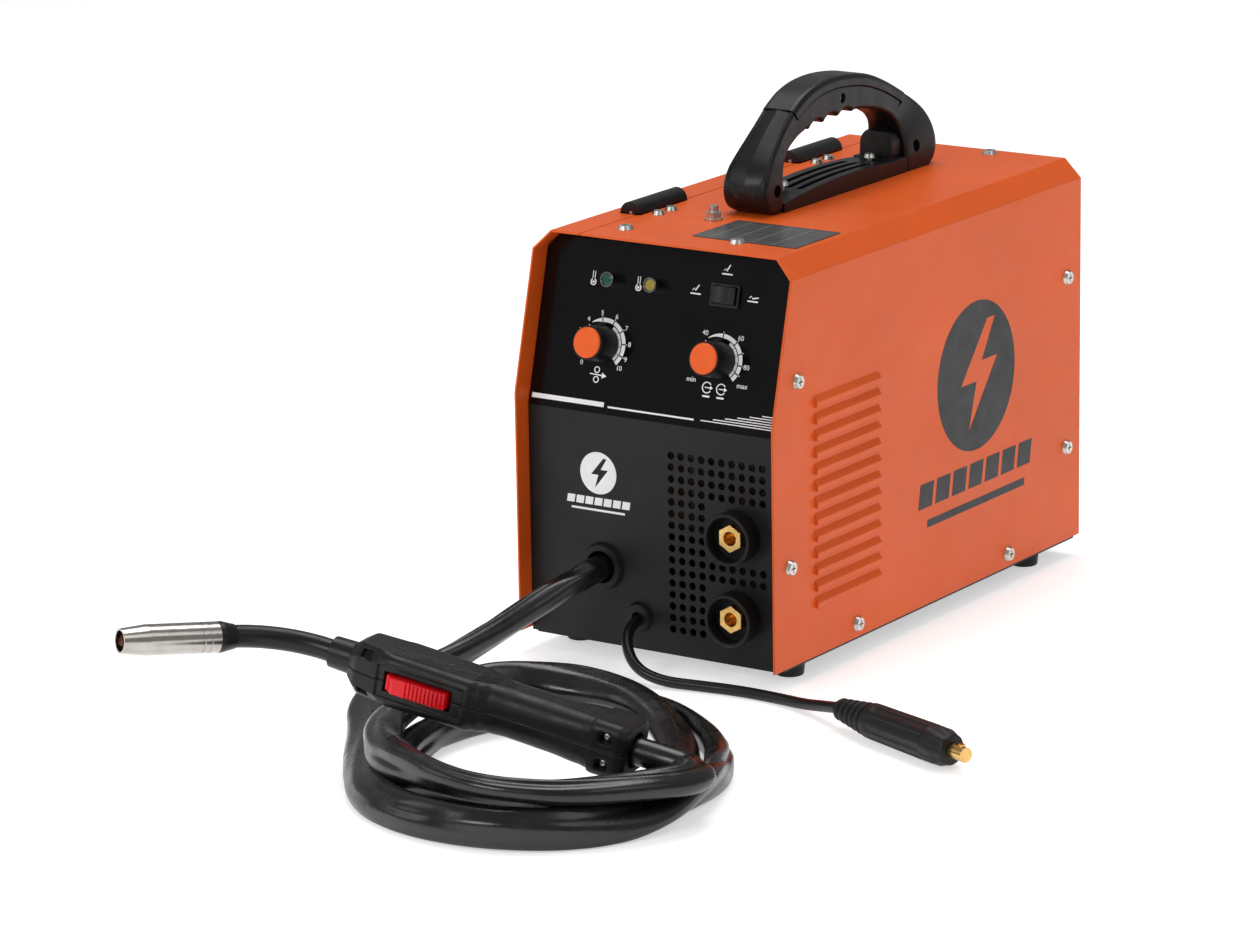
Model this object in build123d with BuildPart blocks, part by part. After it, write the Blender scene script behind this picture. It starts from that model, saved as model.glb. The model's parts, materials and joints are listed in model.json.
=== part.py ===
"""Portable wire-feed welding machine with its torch, its polarity lead and its wire drive.

Frame: +Z up, the control front faces -Y, +X is the louvred side.
The origin is the middle of the footprint, level with the bottoms of the feet.
"""
from build123d import *
from math import atan2, cos, degrees, pi, radians, sin, tan
import os

# ---------------------------------------------------------------- driving dimensions
CASE_W = 190.0          # case width
CASE_D = 380.0          # case depth
CASE_H = 254.0          # case height, without feet and handle
FOOT_H = 11.0           # feet under the tray
LIP_DROP = 2.0          # tray bottom below the case's lower edge
CHAMFER = 12.0          # long top chamfers
SHEET = 1.2             # case sheet
PLATE = 1.5             # chassis sheet
FIT = 0.3               # gap between neighbouring sheets
LEAN_RISE = 100.0       # height of the leaning upper front
LEAN_BACK = 26.0        # how far that front leans back
RECESS = 12.7           # front panel behind the case's front edge
SEAM_X = -61.0          # split between the cover and the side door
SEAM_GAP = 0.8

FRONT_Y = -CASE_D / 2
REAR_Y = CASE_D / 2
CASE_Z = FOOT_H + LIP_DROP
TOP_Z = CASE_Z + CASE_H
HALF_W = CASE_W / 2
IN_W = HALF_W - SHEET
IN_TOP = TOP_Z - SHEET
PANEL_Y = FRONT_Y + RECESS
REAR_PANEL_Y = REAR_Y - 5.0
TRAY_TOP = FOOT_H + PLATE
LEAN = atan2(LEAN_BACK, LEAN_RISE)
PANEL_BEND_Z = CASE_Z + 144.6
PANEL_TOP = IN_TOP - 0.5
HOSE_D = 20.0           # sleeved torch hose
CABLE_D = 7.0           # polarity cable

os.makedirs("parts", exist_ok=True)


def save(builder, name):
    """Label a finished piece and write it."""
    builder.part.label = name
    export_step(builder.part, f"parts/{name}.step")


def front_plane(x, z, y=PANEL_Y):
    """Plane on the upright part of the front panel, facing forward."""
    return Plane(origin=(x, y, z), x_dir=(1, 0, 0), z_dir=(0, -1, 0))


def lean_plane(x, up, out=0.0):
    """Plane on the leaning control face, `up` along its slope from the bend."""
    y = PANEL_Y + up * sin(LEAN) - out * cos(LEAN)
    z = PANEL_BEND_Z + up * cos(LEAN) + out * sin(LEAN)
    return Plane(origin=(x, y, z), x_dir=(1, 0, 0), z_dir=(0, -cos(LEAN), sin(LEAN)))


def mirror_outline(points):
    """Close a symmetric outline given its right half, bottom to top."""
    return points + [(-x, z) for x, z in reversed(points)]


# ---------------------------------------------------------------- chassis
TRAY_X = IN_W - FIT
TRAY_FRONT = PANEL_Y + PLATE + 0.1
TRAY_REAR = REAR_PANEL_Y - PLATE - 0.1
TRAY_LIP = 22.0
CATCH_Y, CATCH_Z = 0.0, 24.0

with BuildPart() as base_tray:
    with BuildSketch(Plane.XZ.offset(-TRAY_REAR)):
        with BuildLine():
            Polyline(
                (-TRAY_X, FOOT_H + TRAY_LIP), (-TRAY_X, FOOT_H), (TRAY_X, FOOT_H), (TRAY_X, FOOT_H + TRAY_LIP),
                (TRAY_X - PLATE, FOOT_H + TRAY_LIP), (TRAY_X - PLATE, TRAY_TOP),
                (PLATE - TRAY_X, TRAY_TOP), (PLATE - TRAY_X, FOOT_H + TRAY_LIP), close=True,
            )
        make_face()
    extrude(amount=TRAY_REAR - TRAY_FRONT)
    with BuildSketch(Plane.XY.offset(FOOT_H)):
        with Locations((38, 20)):
            with GridLocations(9, 40, 9, 3):
                SlotOverall(30, 4, rotation=90)
    extrude(amount=PLATE, mode=Mode.SUBTRACT)
    with BuildSketch(Plane(origin=(-TRAY_X, CATCH_Y, CATCH_Z), z_dir=(-1, 0, 0))):
        Circle(6.0)
    extrude(amount=-PLATE, mode=Mode.SUBTRACT)
save(base_tray, "base_tray")

# Front panel: one bent sheet with side and top flanges.
LEAN_RUN = (PANEL_TOP - PANEL_BEND_Z) * tan(LEAN)
HOLE_PITCH = 7.4
HOLE_R = 2.45
HOLE_X0, HOLE_Z0 = 12.6, CASE_Z + 124.9
HOLE_COLUMNS, HOLE_ROWS = 10, 16
SOCKET_X = 60.5
SOCKET_Z = (CASE_Z + 80.4, CASE_Z + 29.0)
HOSE_X, HOSE_Z = -38.5, CASE_Z + 47.4
CABLE_X, CABLE_Z = -12.0, CASE_Z + 18.2
KNOB_X = (-43.4, 42.2)
KNOB_UP = 43.2
LED_X = (-42.2, -10.4)
LED_UP = 83.2
SWITCH_X, SWITCH_UP = 41.0, 82.8
SWITCH_W, SWITCH_H = 21.6, 15.0
FLANGE = 18.0


def hole_points():
    """Vent holes of the front panel, leaving a clear field round each socket."""
    spots = []
    for row in range(HOLE_ROWS):
        full = row < 4 or row in (9, 10)
        columns = HOLE_COLUMNS if full else 4
        spots += [(HOLE_X0 + HOLE_PITCH * c, HOLE_Z0 - HOLE_PITCH * row) for c in range(columns)]
    return spots


with BuildPart() as front_panel:
    with BuildSketch(Plane.YZ):
        with BuildLine():
            Polyline(
                (PANEL_Y, FOOT_H), (PANEL_Y, PANEL_BEND_Z), (PANEL_Y + LEAN_RUN, PANEL_TOP),
                (PANEL_Y + LEAN_RUN + PLATE / cos(LEAN), PANEL_TOP),
                (PANEL_Y + PLATE, PANEL_BEND_Z - PLATE * tan(LEAN / 2)), (PANEL_Y + PLATE, FOOT_H), close=True,
            )
        make_face()
    extrude(amount=TRAY_X, both=True)
    with BuildSketch(Plane.YZ.offset(TRAY_X)) as flange_side:
        with BuildLine():
            Polyline(
                (PANEL_Y + PLATE, FOOT_H + TRAY_LIP + 1), (PANEL_Y + PLATE, PANEL_BEND_Z),
                (PANEL_Y + LEAN_RUN, PANEL_TOP - CHAMFER), (PANEL_Y + LEAN_RUN + FLANGE, PANEL_TOP - CHAMFER),
                (PANEL_Y + PLATE + FLANGE, PANEL_BEND_Z), (PANEL_Y + PLATE + FLANGE, FOOT_H + TRAY_LIP + 1),
                close=True,
            )
        make_face()
    extrude(amount=-PLATE)
    extrude(flange_side.sketch.moved(Location((PLATE - 2 * TRAY_X, 0, 0))), amount=-PLATE)
    with BuildSketch(Plane.XY.offset(PANEL_TOP - PLATE)):
        with Locations((10, PANEL_Y + LEAN_RUN + 12.5)):
            Rectangle(136, 25)
    extrude(amount=PLATE)
    with BuildSketch(Plane.XY.offset(FOOT_H)):
        with Locations((0, PANEL_Y + 9)):
            Rectangle(2 * TRAY_X - 8, 18)
    extrude(amount=-0.8)
    with BuildSketch(Plane.XZ):
        with BuildLine():
            Polyline(
                mirror_outline([(TRAY_X, 0), (TRAY_X, PANEL_TOP - CHAMFER), (TRAY_X - CHAMFER, PANEL_TOP)]), close=True
            )
        make_face()
    extrude(amount=CASE_D, both=True, mode=Mode.INTERSECT)
    with BuildSketch(Plane.XZ):
        with Locations((-80, PANEL_TOP + 5 - 4)):
            Rectangle(44, 10)
    extrude(amount=CASE_D, both=True, mode=Mode.SUBTRACT)
    with BuildSketch(front_plane(0, 0)):
        with Locations(*hole_points()):
            Circle(HOLE_R)
        with Locations(*[(SOCKET_X, z) for z in SOCKET_Z]):
            Circle(12.2)
        with Locations((HOSE_X, HOSE_Z)):
            Circle(12.6)
        with Locations((CABLE_X, CABLE_Z)):
            Circle(7.1)
    extrude(amount=-PLATE - 1, mode=Mode.SUBTRACT)
    with BuildSketch(lean_plane(0, 0)):
        with Locations(*[(x, KNOB_UP) for x in KNOB_X]):
            Circle(3.8)
        with Locations(*[(x, LED_UP) for x in LED_X]):
            Circle(3.3)
        with Locations((SWITCH_X, SWITCH_UP)):
            Rectangle(19.2, 12.8)
    extrude(amount=-PLATE - 1, mode=Mode.SUBTRACT)
save(front_panel, "front_panel")

# Rear panel: flat sheet with flanges, fan grille, mains gland and power switch cut-outs.
FAN_X, FAN_Z = 36.0, 78.0
FAN_SIZE = 92.0
GLAND_X, GLAND_Z = 68.0, CASE_Z + 138.5
POWER_X, POWER_Z = 20.0, GLAND_Z

with BuildPart() as rear_panel:
    with BuildSketch(front_plane(0, 0, REAR_PANEL_Y)):
        with BuildLine():
            Polyline(
                mirror_outline([(TRAY_X, FOOT_H), (TRAY_X, PANEL_TOP - CHAMFER), (TRAY_X - CHAMFER, PANEL_TOP)]),
                close=True,
            )
        make_face()
        with Locations((-80, PANEL_TOP + 5 - 4)):
            Rectangle(44, 10, mode=Mode.SUBTRACT)
    extrude(amount=PLATE)
    with BuildSketch(Plane.XY.offset(FOOT_H + TRAY_LIP + 1)):
        with Locations((TRAY_X - PLATE / 2, REAR_PANEL_Y - FLANGE / 2), (PLATE / 2 - TRAY_X, REAR_PANEL_Y - FLANGE / 2)):
            Rectangle(PLATE, FLANGE)
    extrude(amount=PANEL_TOP - CHAMFER - FOOT_H - TRAY_LIP - 2)
    with BuildSketch(Plane.XY.offset(PANEL_TOP - PLATE)):
        with Locations((10, REAR_PANEL_Y - 9)):
            Rectangle(136, 18)
    extrude(amount=PLATE)
    with BuildSketch(front_plane(0, 0, REAR_PANEL_Y + 1)):
        with Locations((FAN_X, FAN_Z)):
            Circle(42.0)
            for ring in (38.0, 28.0, 18.0):
                Circle(ring, mode=Mode.SUBTRACT)
                Circle(ring - 3.0)
            Circle(9.0, mode=Mode.SUBTRACT)
            Rectangle(90, 4, mode=Mode.SUBTRACT)
            Rectangle(4, 90, mode=Mode.SUBTRACT)
        with Locations((GLAND_X, GLAND_Z)):
            Circle(10.1)
        with Locations((POWER_X, POWER_Z)):
            Rectangle(27.2, 21.2)
    extrude(amount=PLATE + 2, mode=Mode.SUBTRACT)
save(rear_panel, "rear_panel")

# Partition between the wire compartment and the electronics.
PART_X = -22.0
WIRE_X, WIRE_Z = HOSE_X, HOSE_Z
DRIVE_Y = -112.0
DRIVE_R = 15.0
with BuildPart() as partition:
    with BuildSketch(Plane.YZ.offset(PART_X)):
        with BuildLine():
            Polyline(
                (TRAY_FRONT + 22, TRAY_TOP + 0.1), (TRAY_FRONT + 22, PANEL_BEND_Z), (-118, IN_TOP - 3),
                (TRAY_REAR - 22, IN_TOP - 3), (TRAY_REAR - 22, TRAY_TOP + 0.1), close=True,
            )
        make_face()
        with Locations((DRIVE_Y, WIRE_Z - DRIVE_R)):
            Circle(6.5, mode=Mode.SUBTRACT)
    extrude(amount=PLATE)
    with BuildSketch(Plane.XY.offset(TRAY_TOP + 0.1)):
        with Locations((PART_X + 8, 0)):
            Rectangle(16, 300)
    extrude(amount=PLATE)
save(partition, "partition")

# ---------------------------------------------------------------- orange case
HINGE_Y = (-73.0, 115.0)    # middle of each hinge
HINGE_L = 54.0
HINGE_X = -66.5
HINGE_R = 7.5
HINGE_Z = TOP_Z + 0.5
NOTCH = HINGE_L + 1.2
LOUVRES = 13
LOUVRE_PITCH = 10.6
LOUVRE_Z0 = CASE_Z + 33.8
LOUVRE_Y0, LOUVRE_Y1 = -143.0, -67.0


def leaning_cut():
    """Cut the upper front of a case sheet back along its lean."""
    with BuildSketch(Plane.YZ) as wedge:
        with BuildLine():
            Polyline(
                (FRONT_Y, TOP_Z - LEAN_RISE), (FRONT_Y + 1.1 * LEAN_BACK, TOP_Z + 0.1 * LEAN_RISE),
                (FRONT_Y - 20, TOP_Z + 0.1 * LEAN_RISE), (FRONT_Y - 20, TOP_Z - LEAN_RISE), close=True,
            )
        make_face()
    extrude(wedge.sketch, amount=CASE_W, both=True, mode=Mode.SUBTRACT)


with BuildPart() as cover:
    with BuildSketch(Plane.XZ):
        with BuildLine():
            Polyline(
                (HALF_W, CASE_Z), (HALF_W, TOP_Z - CHAMFER), (HALF_W - CHAMFER, TOP_Z), (SEAM_X, TOP_Z),
                (SEAM_X, IN_TOP), (HALF_W - CHAMFER - 0.5, IN_TOP), (IN_W, TOP_Z - CHAMFER - 0.5), (IN_W, CASE_Z),
                close=True,
            )
        make_face()
    extrude(amount=CASE_D / 2, both=True)
    leaning_cut()
    with BuildSketch(Plane.XY.offset(IN_TOP - 1)):
        with Locations(*[(SEAM_X, y) for y in HINGE_Y]):
            Rectangle(5.0, NOTCH)
    extrude(amount=SHEET + 2, mode=Mode.SUBTRACT)
    # Louvre slots, each under a pressed hood with closed ends.
    with BuildSketch(Plane.YZ.offset(HALF_W)):
        with Locations(((LOUVRE_Y0 + LOUVRE_Y1) / 2, LOUVRE_Z0 + (LOUVRES - 1) * LOUVRE_PITCH / 2)):
            with GridLocations(1, LOUVRE_PITCH, 1, LOUVRES):
                Rectangle(LOUVRE_Y1 - LOUVRE_Y0 - 4, 3.4)
    extrude(amount=-SHEET - 1, mode=Mode.SUBTRACT)
    with BuildSketch(Plane.XZ.offset(-LOUVRE_Y1)) as hood:
        for index in range(LOUVRES):
            base = LOUVRE_Z0 + index * LOUVRE_PITCH - 1.7
            with BuildLine():
                outer = [(HALF_W, base + 6.2), (HALF_W + 2.4, base + 2.2), (HALF_W + 2.4, base - 1.0)]
                inner = [(HALF_W + 1.4, base - 1.0), (HALF_W + 1.4, base + 1.6), (HALF_W, base + 4.4)]
                Polyline(outer + inner, close=True)
            make_face()
    extrude(hood.sketch, amount=LOUVRE_Y1 - LOUVRE_Y0)
    with BuildSketch(Plane.XZ.offset(-LOUVRE_Y1)) as hood_end:
        for index in range(LOUVRES):
            base = LOUVRE_Z0 + index * LOUVRE_PITCH - 1.7
            with BuildLine():
                Polyline(
                    (HALF_W, base + 6.2), (HALF_W + 2.4, base + 2.2), (HALF_W + 2.4, base - 1.0),
                    (HALF_W, base - 1.0), close=True,
                )
            make_face()
    extrude(hood_end.sketch, amount=1.2)
    extrude(hood_end.sketch.moved(Location((0, LOUVRE_Y0 - LOUVRE_Y1 + 1.2, 0))), amount=1.2)
save(cover, "cover")

with BuildPart() as side_door:
    with BuildSketch(Plane.XZ):
        with BuildLine():
            Polyline(
                (-HALF_W, CASE_Z), (-HALF_W, TOP_Z - CHAMFER), (CHAMFER - HALF_W, TOP_Z), (SEAM_X - SEAM_GAP, TOP_Z),
                (SEAM_X - SEAM_GAP, IN_TOP), (CHAMFER + 0.5 - HALF_W, IN_TOP), (-IN_W, TOP_Z - CHAMFER - 0.5),
                (-IN_W, CASE_Z), close=True,
            )
        make_face()
    extrude(amount=CASE_D / 2, both=True)
    leaning_cut()
    with BuildSketch(Plane.XY.offset(IN_TOP - 1)):
        with Locations(*[(HINGE_X, y) for y in HINGE_Y]):
            Rectangle(17.4, NOTCH)
    extrude(amount=SHEET + 2, mode=Mode.SUBTRACT)
    with BuildSketch(Plane(origin=(-HALF_W, CATCH_Y, CATCH_Z), z_dir=(-1, 0, 0))):
        Circle(5.1)
    extrude(amount=-SHEET, mode=Mode.SUBTRACT)
save(side_door, "side_door")


def knuckle(y_front, y_rear):
    """Half-round hinge knuckle bored for its pin, between two stations along Y."""
    with BuildSketch(Plane.XZ.offset(-y_rear)) as section:
        with Locations((HINGE_X, TOP_Z + 0.3)):
            Circle(HINGE_R)
            with Locations((0, -HINGE_R)):
                Rectangle(2 * HINGE_R, 2 * HINGE_R, mode=Mode.SUBTRACT)
        with Locations((HINGE_X, HINGE_Z)):
            Circle(3.4)
            Circle(1.56, mode=Mode.SUBTRACT)
    extrude(section.sketch, amount=y_rear - y_front)


LEAF_Z = IN_TOP - 1.5
with BuildPart() as hinge_leaves:
    for y in HINGE_Y:
        knuckle(y - HINGE_L / 2, y - 0.2)
        with BuildSketch(Plane.XY.offset(LEAF_Z)):
            with Locations(((-44 + HINGE_X + 1.8) / 2, y - HINGE_L / 4)):
                Rectangle(-44 - HINGE_X - 1.8, HINGE_L / 2 - 0.8)
        extrude(amount=1.5)
save(hinge_leaves, "hinge_leaves")

with BuildPart() as door_knuckles:
    for y in HINGE_Y:
        knuckle(y + 0.2, y + HINGE_L / 2)
        with BuildSketch(Plane.XY.offset(LEAF_Z)):
            with Locations(((-81.5 + HINGE_X - 1.8) / 2, y + HINGE_L / 4)):
                Rectangle(HINGE_X - 1.8 + 81.5, HINGE_L / 2 - 0.8)
        extrude(amount=1.5)
save(door_knuckles, "door_knuckles")

with BuildPart() as hinge_pins:
    with BuildSketch(Plane.XZ.offset(-HINGE_Y[0] - HINGE_L / 2 + 0.5)):
        with Locations((HINGE_X, HINGE_Z)):
            Circle(1.5)
    extrude(amount=HINGE_L - 1)
    with BuildSketch(Plane.XZ.offset(-HINGE_Y[1] - HINGE_L / 2 + 0.5)):
        with Locations((HINGE_X, HINGE_Z)):
            Circle(1.5)
    extrude(amount=HINGE_L - 1)
save(hinge_pins, "hinge_pins")

# Push-in catch that snaps the door to the tray's side.
with BuildPart() as door_catch:
    with BuildSketch(Plane(origin=(-HALF_W - 5, CATCH_Y, CATCH_Z), z_dir=(-1, 0, 0))):
        Circle(9.0)
        with PolarLocations(9.6, 8):
            Circle(1.6, mode=Mode.SUBTRACT)
    extrude(amount=-5.0)
    with BuildSketch(Plane(origin=(-HALF_W, CATCH_Y, CATCH_Z), z_dir=(-1, 0, 0))):
        Circle(5.0)
    extrude(amount=-9.0)
    chamfer(door_catch.faces().sort_by(Axis.X)[-1].edges(), length=1.5)
save(door_catch, "door_catch")

# ---------------------------------------------------------------- feet, screws, plate
FOOT_X, FOOT_Y = 78.0, 146.0
FOOT_SPOTS = [(x, y) for x in (-FOOT_X, FOOT_X) for y in (-FOOT_Y, FOOT_Y)]
with BuildPart() as feet:
    with BuildSketch(Plane.XY.offset(FOOT_H)):
        with Locations(*FOOT_SPOTS):
            Circle(10.0)
    extrude(amount=-FOOT_H, taper=6)
    fillet(feet.edges().group_by(Axis.Z)[0], radius=1.2)
    with BuildSketch(Plane.XY):
        with Locations(*FOOT_SPOTS):
            Circle(4.6)
    extrude(amount=4.0, mode=Mode.SUBTRACT)
    with BuildSketch(Plane.XY):
        with Locations(*FOOT_SPOTS):
            Circle(2.05)
    extrude(amount=FOOT_H, mode=Mode.SUBTRACT)
save(feet, "feet")

HEAD_R = 5.1
SIDE_SCREWS = [(-161.7, 178.4), (-171.4, 63.4), (-92.9, 8.6), (95.4, 8.6), (172.0, 178.4), (172.0, 63.4)]
TOP_SCREWS = [(-44.0, -139.0), (38.0, -139.0), (33.0, 177.5), (-44.0, 177.5)]
LEAF_SCREWS = [(-50.5, y + offset) for y in HINGE_Y for offset in (-19.0, -4.5)]
PANEL_FEET_SCREWS = [(-50.0, PANEL_Y + 11), (56.5, PANEL_Y + 11)]


def screw(plane, shank, head=HEAD_R, thick=2.5):
    """Pan-head cross-recess screw whose head stands on `plane`."""
    with BuildSketch(plane) as disc:
        Circle(head)
    extrude(disc.sketch, amount=thick, taper=24)
    with BuildSketch(plane) as rod:
        Circle(1.9)
    extrude(rod.sketch, amount=-shank)
    with BuildSketch(plane.offset(thick)) as recess:
        Rectangle(head, 0.9)
        Rectangle(0.9, head)
    extrude(recess.sketch, amount=-1.3, mode=Mode.SUBTRACT)


with BuildPart() as case_screws:
    for y, z in SIDE_SCREWS:
        screw(Plane(origin=(HALF_W + 0.05, y, CASE_Z + z), z_dir=(1, 0, 0)), 7.0)
    for x, y in TOP_SCREWS + LEAF_SCREWS:
        screw(Plane.XY.offset(TOP_Z + 0.05).move(Location((x, y, 0))), 6.0, HEAD_R if x > -50 else 4.2)
    for x, y in PANEL_FEET_SCREWS:
        screw(Plane(origin=(x, y, FOOT_H - 0.85), z_dir=(0, 0, -1)), 5.0)
    for x, y in FOOT_SPOTS:
        screw(Plane(origin=(x, y, 3.95), z_dir=(0, 0, -1)), 11.0, 4.0)
    with BuildSketch(Plane.XY.offset(TOP_Z + 0.05)):
        with Locations((-11.7, -88.3)):
            Circle(6.0)
    extrude(amount=1.2)
    with BuildSketch(Plane.XY.offset(TOP_Z + 1.25)):
        with Locations((-11.7, -88.3)):
            RegularPolygon(4.6, 6, major_radius=False)
    extrude(amount=4.2)
    with BuildSketch(Plane.XY.offset(TOP_Z - 8)):
        with Locations((-11.7, -88.3)):
            Circle(2.9)
    extrude(amount=17.0)
save(case_screws, "case_screws")

with BuildPart() as rating_plate:
    with BuildSketch(Plane.XY.offset(TOP_Z + 0.02)):
        with Locations((41.0, -110.0)):
            RectangleRounded(75.5, 53.0, 1.5)
    extrude(amount=0.4)
save(rating_plate, "rating_plate")

# ---------------------------------------------------------------- carrying handle
BASE_W = 33.0
GRIP_W = 23.0
HANDLE_Z = TOP_Z + 0.1
EAR_Y = 94.0
HANDLE_SCREWS = [(-26.0, 9.4), (80.0, 8.9)]

with BuildPart() as handle_base:
    with BuildSketch(Plane.YZ):
        with BuildLine():
            Line((-50, HANDLE_Z), (99, HANDLE_Z))
            Polyline((99, HANDLE_Z), (99, HANDLE_Z + 20), (94, HANDLE_Z + 29), (EAR_Y - 6, HANDLE_Z + 27))
            Line((EAR_Y - 6, HANDLE_Z + 27), (EAR_Y - 7, HANDLE_Z + 9))
            Spline((EAR_Y - 7, HANDLE_Z + 9), (30, HANDLE_Z + 11.5), (-50, HANDLE_Z + 6))
            Line((-50, HANDLE_Z + 6), (-50, HANDLE_Z))
        make_face()
    extrude(amount=BASE_W / 2, both=True)
    with BuildSketch(Plane.XZ.offset(-110)):
        with Locations((0, HANDLE_Z + 30)):
            Rectangle(60, 40)
        with Locations((0, HANDLE_Z + 10 + 18 - 12)):
            RectangleRounded(24, 26, 10, mode=Mode.SUBTRACT)
    extrude(amount=30, mode=Mode.SUBTRACT)
    with BuildSketch(Plane.XY.offset(HANDLE_Z + 3)):
        with Locations((0, 22)):
            with GridLocations(8.5, 0, 3, 1):
                SlotOverall(86, 4.4, rotation=90)
    extrude(amount=12, mode=Mode.SUBTRACT)
    with BuildSketch(Plane.XY.offset(HANDLE_Z)):
        with Locations(*[(0, y) for y, _ in HANDLE_SCREWS]):
            Circle(2.2)
    extrude(amount=20, mode=Mode.SUBTRACT)
save(handle_base, "handle_base")

RIDGE = [(-31, 328.5), (-16, 336.5), (2, 341), (26, 342), (56, 338.5), (80, 330.6), (105, 318.7)]
UNDER = [(101, 312.5), (78, 323.5), (54, 331), (26, 334.5), (3, 333.5), (-13, 329), (-26, 321.5)]


def grip_taper():
    """Narrow the arch from its feet to its grip."""
    with BuildSketch(Plane.XZ) as front_view:
        with BuildLine():
            half, grip = BASE_W / 2, GRIP_W / 2
            Polyline(mirror_outline([(half, HANDLE_Z), (half, 298), (grip, 324), (grip, 350)]), close=True)
        make_face()
    extrude(front_view.sketch, amount=160, both=True, mode=Mode.INTERSECT)


with BuildPart() as handle_arch:
    with BuildSketch(Plane.YZ):
        with BuildLine():
            Spline((-64, HANDLE_Z), (-72, 281), (-69, 296), (-54, 309), (-31, 328.5))
            Line((-31, 328.5), (-26, 321.5))
            Spline(*reversed(UNDER))
            Line((101, 312.5), (105, 318.7))
            Spline((105, 318.7), (124, 307.7), (137, 294), (139.4, 281), (134, 270), (128, HANDLE_Z))
            Line((128, HANDLE_Z), (99.4, HANDLE_Z))
            Line((99.4, HANDLE_Z), (99.4, 291))
            Spline((99.4, 291), (92, 304), (74, 313))
            Line((74, 313), (48, 318))
            groove = [(48, 318), (40.5, 315), (33, 318), (24, 315), (15, 318), (6, 315), (-3, 318), (-12, 314.5)]
            for start, end in zip(groove, groove[1:]):
                middle = ((start[0] + end[0]) / 2, (start[1] + end[1]) / 2 + 0.2)
                ThreePointArc(start, middle, end)
            Spline((-12, 314.5), (-31, 309), (-44, 298), (-50.4, 284), (-50.4, HANDLE_Z))
            Line((-50.4, HANDLE_Z), (-64, HANDLE_Z))
        make_face()
    extrude(amount=BASE_W / 2, both=True)
    grip_taper()
    with BuildSketch(Plane.YZ.offset(BASE_W / 2)):
        with Locations((-58, 282), (112, 282)):
            Circle(4.0)
    extrude(amount=-7.0, mode=Mode.SUBTRACT)
    with BuildSketch(Plane.YZ.offset(GRIP_W / 2)):
        with Locations((28, 327)):
            Circle(3.2)
    extrude(amount=-4.0, mode=Mode.SUBTRACT)
save(handle_arch, "handle_arch")

with BuildPart() as handle_cover:
    with BuildSketch(Plane.YZ):
        with BuildLine():
            Spline(*RIDGE)
            Line(RIDGE[-1], UNDER[0])
            Spline(*UNDER)
            Line(UNDER[-1], RIDGE[0])
        make_face()
    extrude(amount=GRIP_W / 2 + 0.8, both=True)
save(handle_cover, "handle_cover")

with BuildPart() as handle_screws:
    for y, rise in HANDLE_SCREWS:
        screw(Plane.XY.offset(HANDLE_Z + rise + 2.5).move(Location((0, y, 0))), rise + 9.0, 4.0)
    screw(Plane(origin=(GRIP_W / 2 - 3.8, 28, 327), z_dir=(1, 0, 0)), 6.0, 2.8, 1.8)
    for y in (-58, 112):
        screw(Plane(origin=(BASE_W / 2 - 6.8, y, 282), z_dir=(1, 0, 0)), 6.0, 3.4, 2.0)
save(handle_screws, "handle_screws")

# ---------------------------------------------------------------- control face
KNOB_R = 11.5
KNOB_H = 17.5
CAP_R = 9.6


def knob(x):
    """Knob skirt with its pointer rib, cap pocket and spindle."""
    with BuildSketch(lean_plane(x, KNOB_UP, 0.8)) as skirt:
        Circle(KNOB_R)
    extrude(skirt.sketch, amount=KNOB_H, taper=3)
    with BuildSketch(lean_plane(x, KNOB_UP, 0.8)) as rib:
        with Locations((0, KNOB_R - 1.5)):
            Rectangle(2.0, 5.0)
    extrude(rib.sketch, amount=6.0)
    with BuildSketch(lean_plane(x, KNOB_UP, 0.8 + KNOB_H)) as pocket:
        Circle(CAP_R + 0.1)
    extrude(pocket.sketch, amount=-2.0, mode=Mode.SUBTRACT)
    with BuildSketch(lean_plane(x, KNOB_UP, 0.8)) as spindle:
        Circle(3.0)
    extrude(spindle.sketch, amount=-12.0)


def knob_cap(x):
    """Round cap pressed into the knob's front."""
    with BuildSketch(lean_plane(x, KNOB_UP, KNOB_H - 1.2)) as disc:
        Circle(CAP_R)
    extrude(disc.sketch, amount=3.4)


with BuildPart() as wire_speed_knob:
    knob(KNOB_X[0])
save(wire_speed_knob, "wire_speed_knob")

with BuildPart() as current_knob:
    knob(KNOB_X[1])
save(current_knob, "current_knob")

with BuildPart() as wire_speed_cap:
    knob_cap(KNOB_X[0])
    chamfer(wire_speed_cap.faces().sort_by(Axis.Y)[0].edges(), length=0.8)
save(wire_speed_cap, "wire_speed_cap")

with BuildPart() as current_cap:
    knob_cap(KNOB_X[1])
    chamfer(current_cap.faces().sort_by(Axis.Y)[0].edges(), length=0.8)
save(current_cap, "current_cap")

with BuildPart() as control_board:
    with BuildSketch(lean_plane(0, 58, -14.0)):
        Rectangle(140, 70)
    extrude(amount=-1.6)
    for x in KNOB_X:
        with BuildSketch(lean_plane(x, KNOB_UP, -14.0)):
            Circle(8.0)
        extrude(amount=11.0)
        with BuildSketch(lean_plane(x, KNOB_UP, -3.0)):
            Circle(3.7)
        extrude(amount=3.6)
        with BuildSketch(lean_plane(x, KNOB_UP, 1.0)):
            Circle(3.06)
        extrude(amount=-14.0, mode=Mode.SUBTRACT)
    with BuildSketch(lean_plane(0, 40, -14.0)):
        with GridLocations(14, 0, 3, 1):
            Rectangle(9, 16)
    extrude(amount=5.0)
save(control_board, "control_board")

LED_OUT = 7.5
with BuildPart() as led_bezels:
    for x in LED_X:
        with BuildSketch(lean_plane(x, LED_UP, 0.05)):
            Circle(4.7)
        extrude(amount=LED_OUT)
        with BuildSketch(lean_plane(x, LED_UP, 0.05)):
            Circle(3.2)
        extrude(amount=-5.0)
        with BuildSketch(lean_plane(x, LED_UP, LED_OUT + 1)):
            Circle(3.9)
        extrude(amount=-6.0, mode=Mode.SUBTRACT)
save(led_bezels, "led_bezels")


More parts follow.
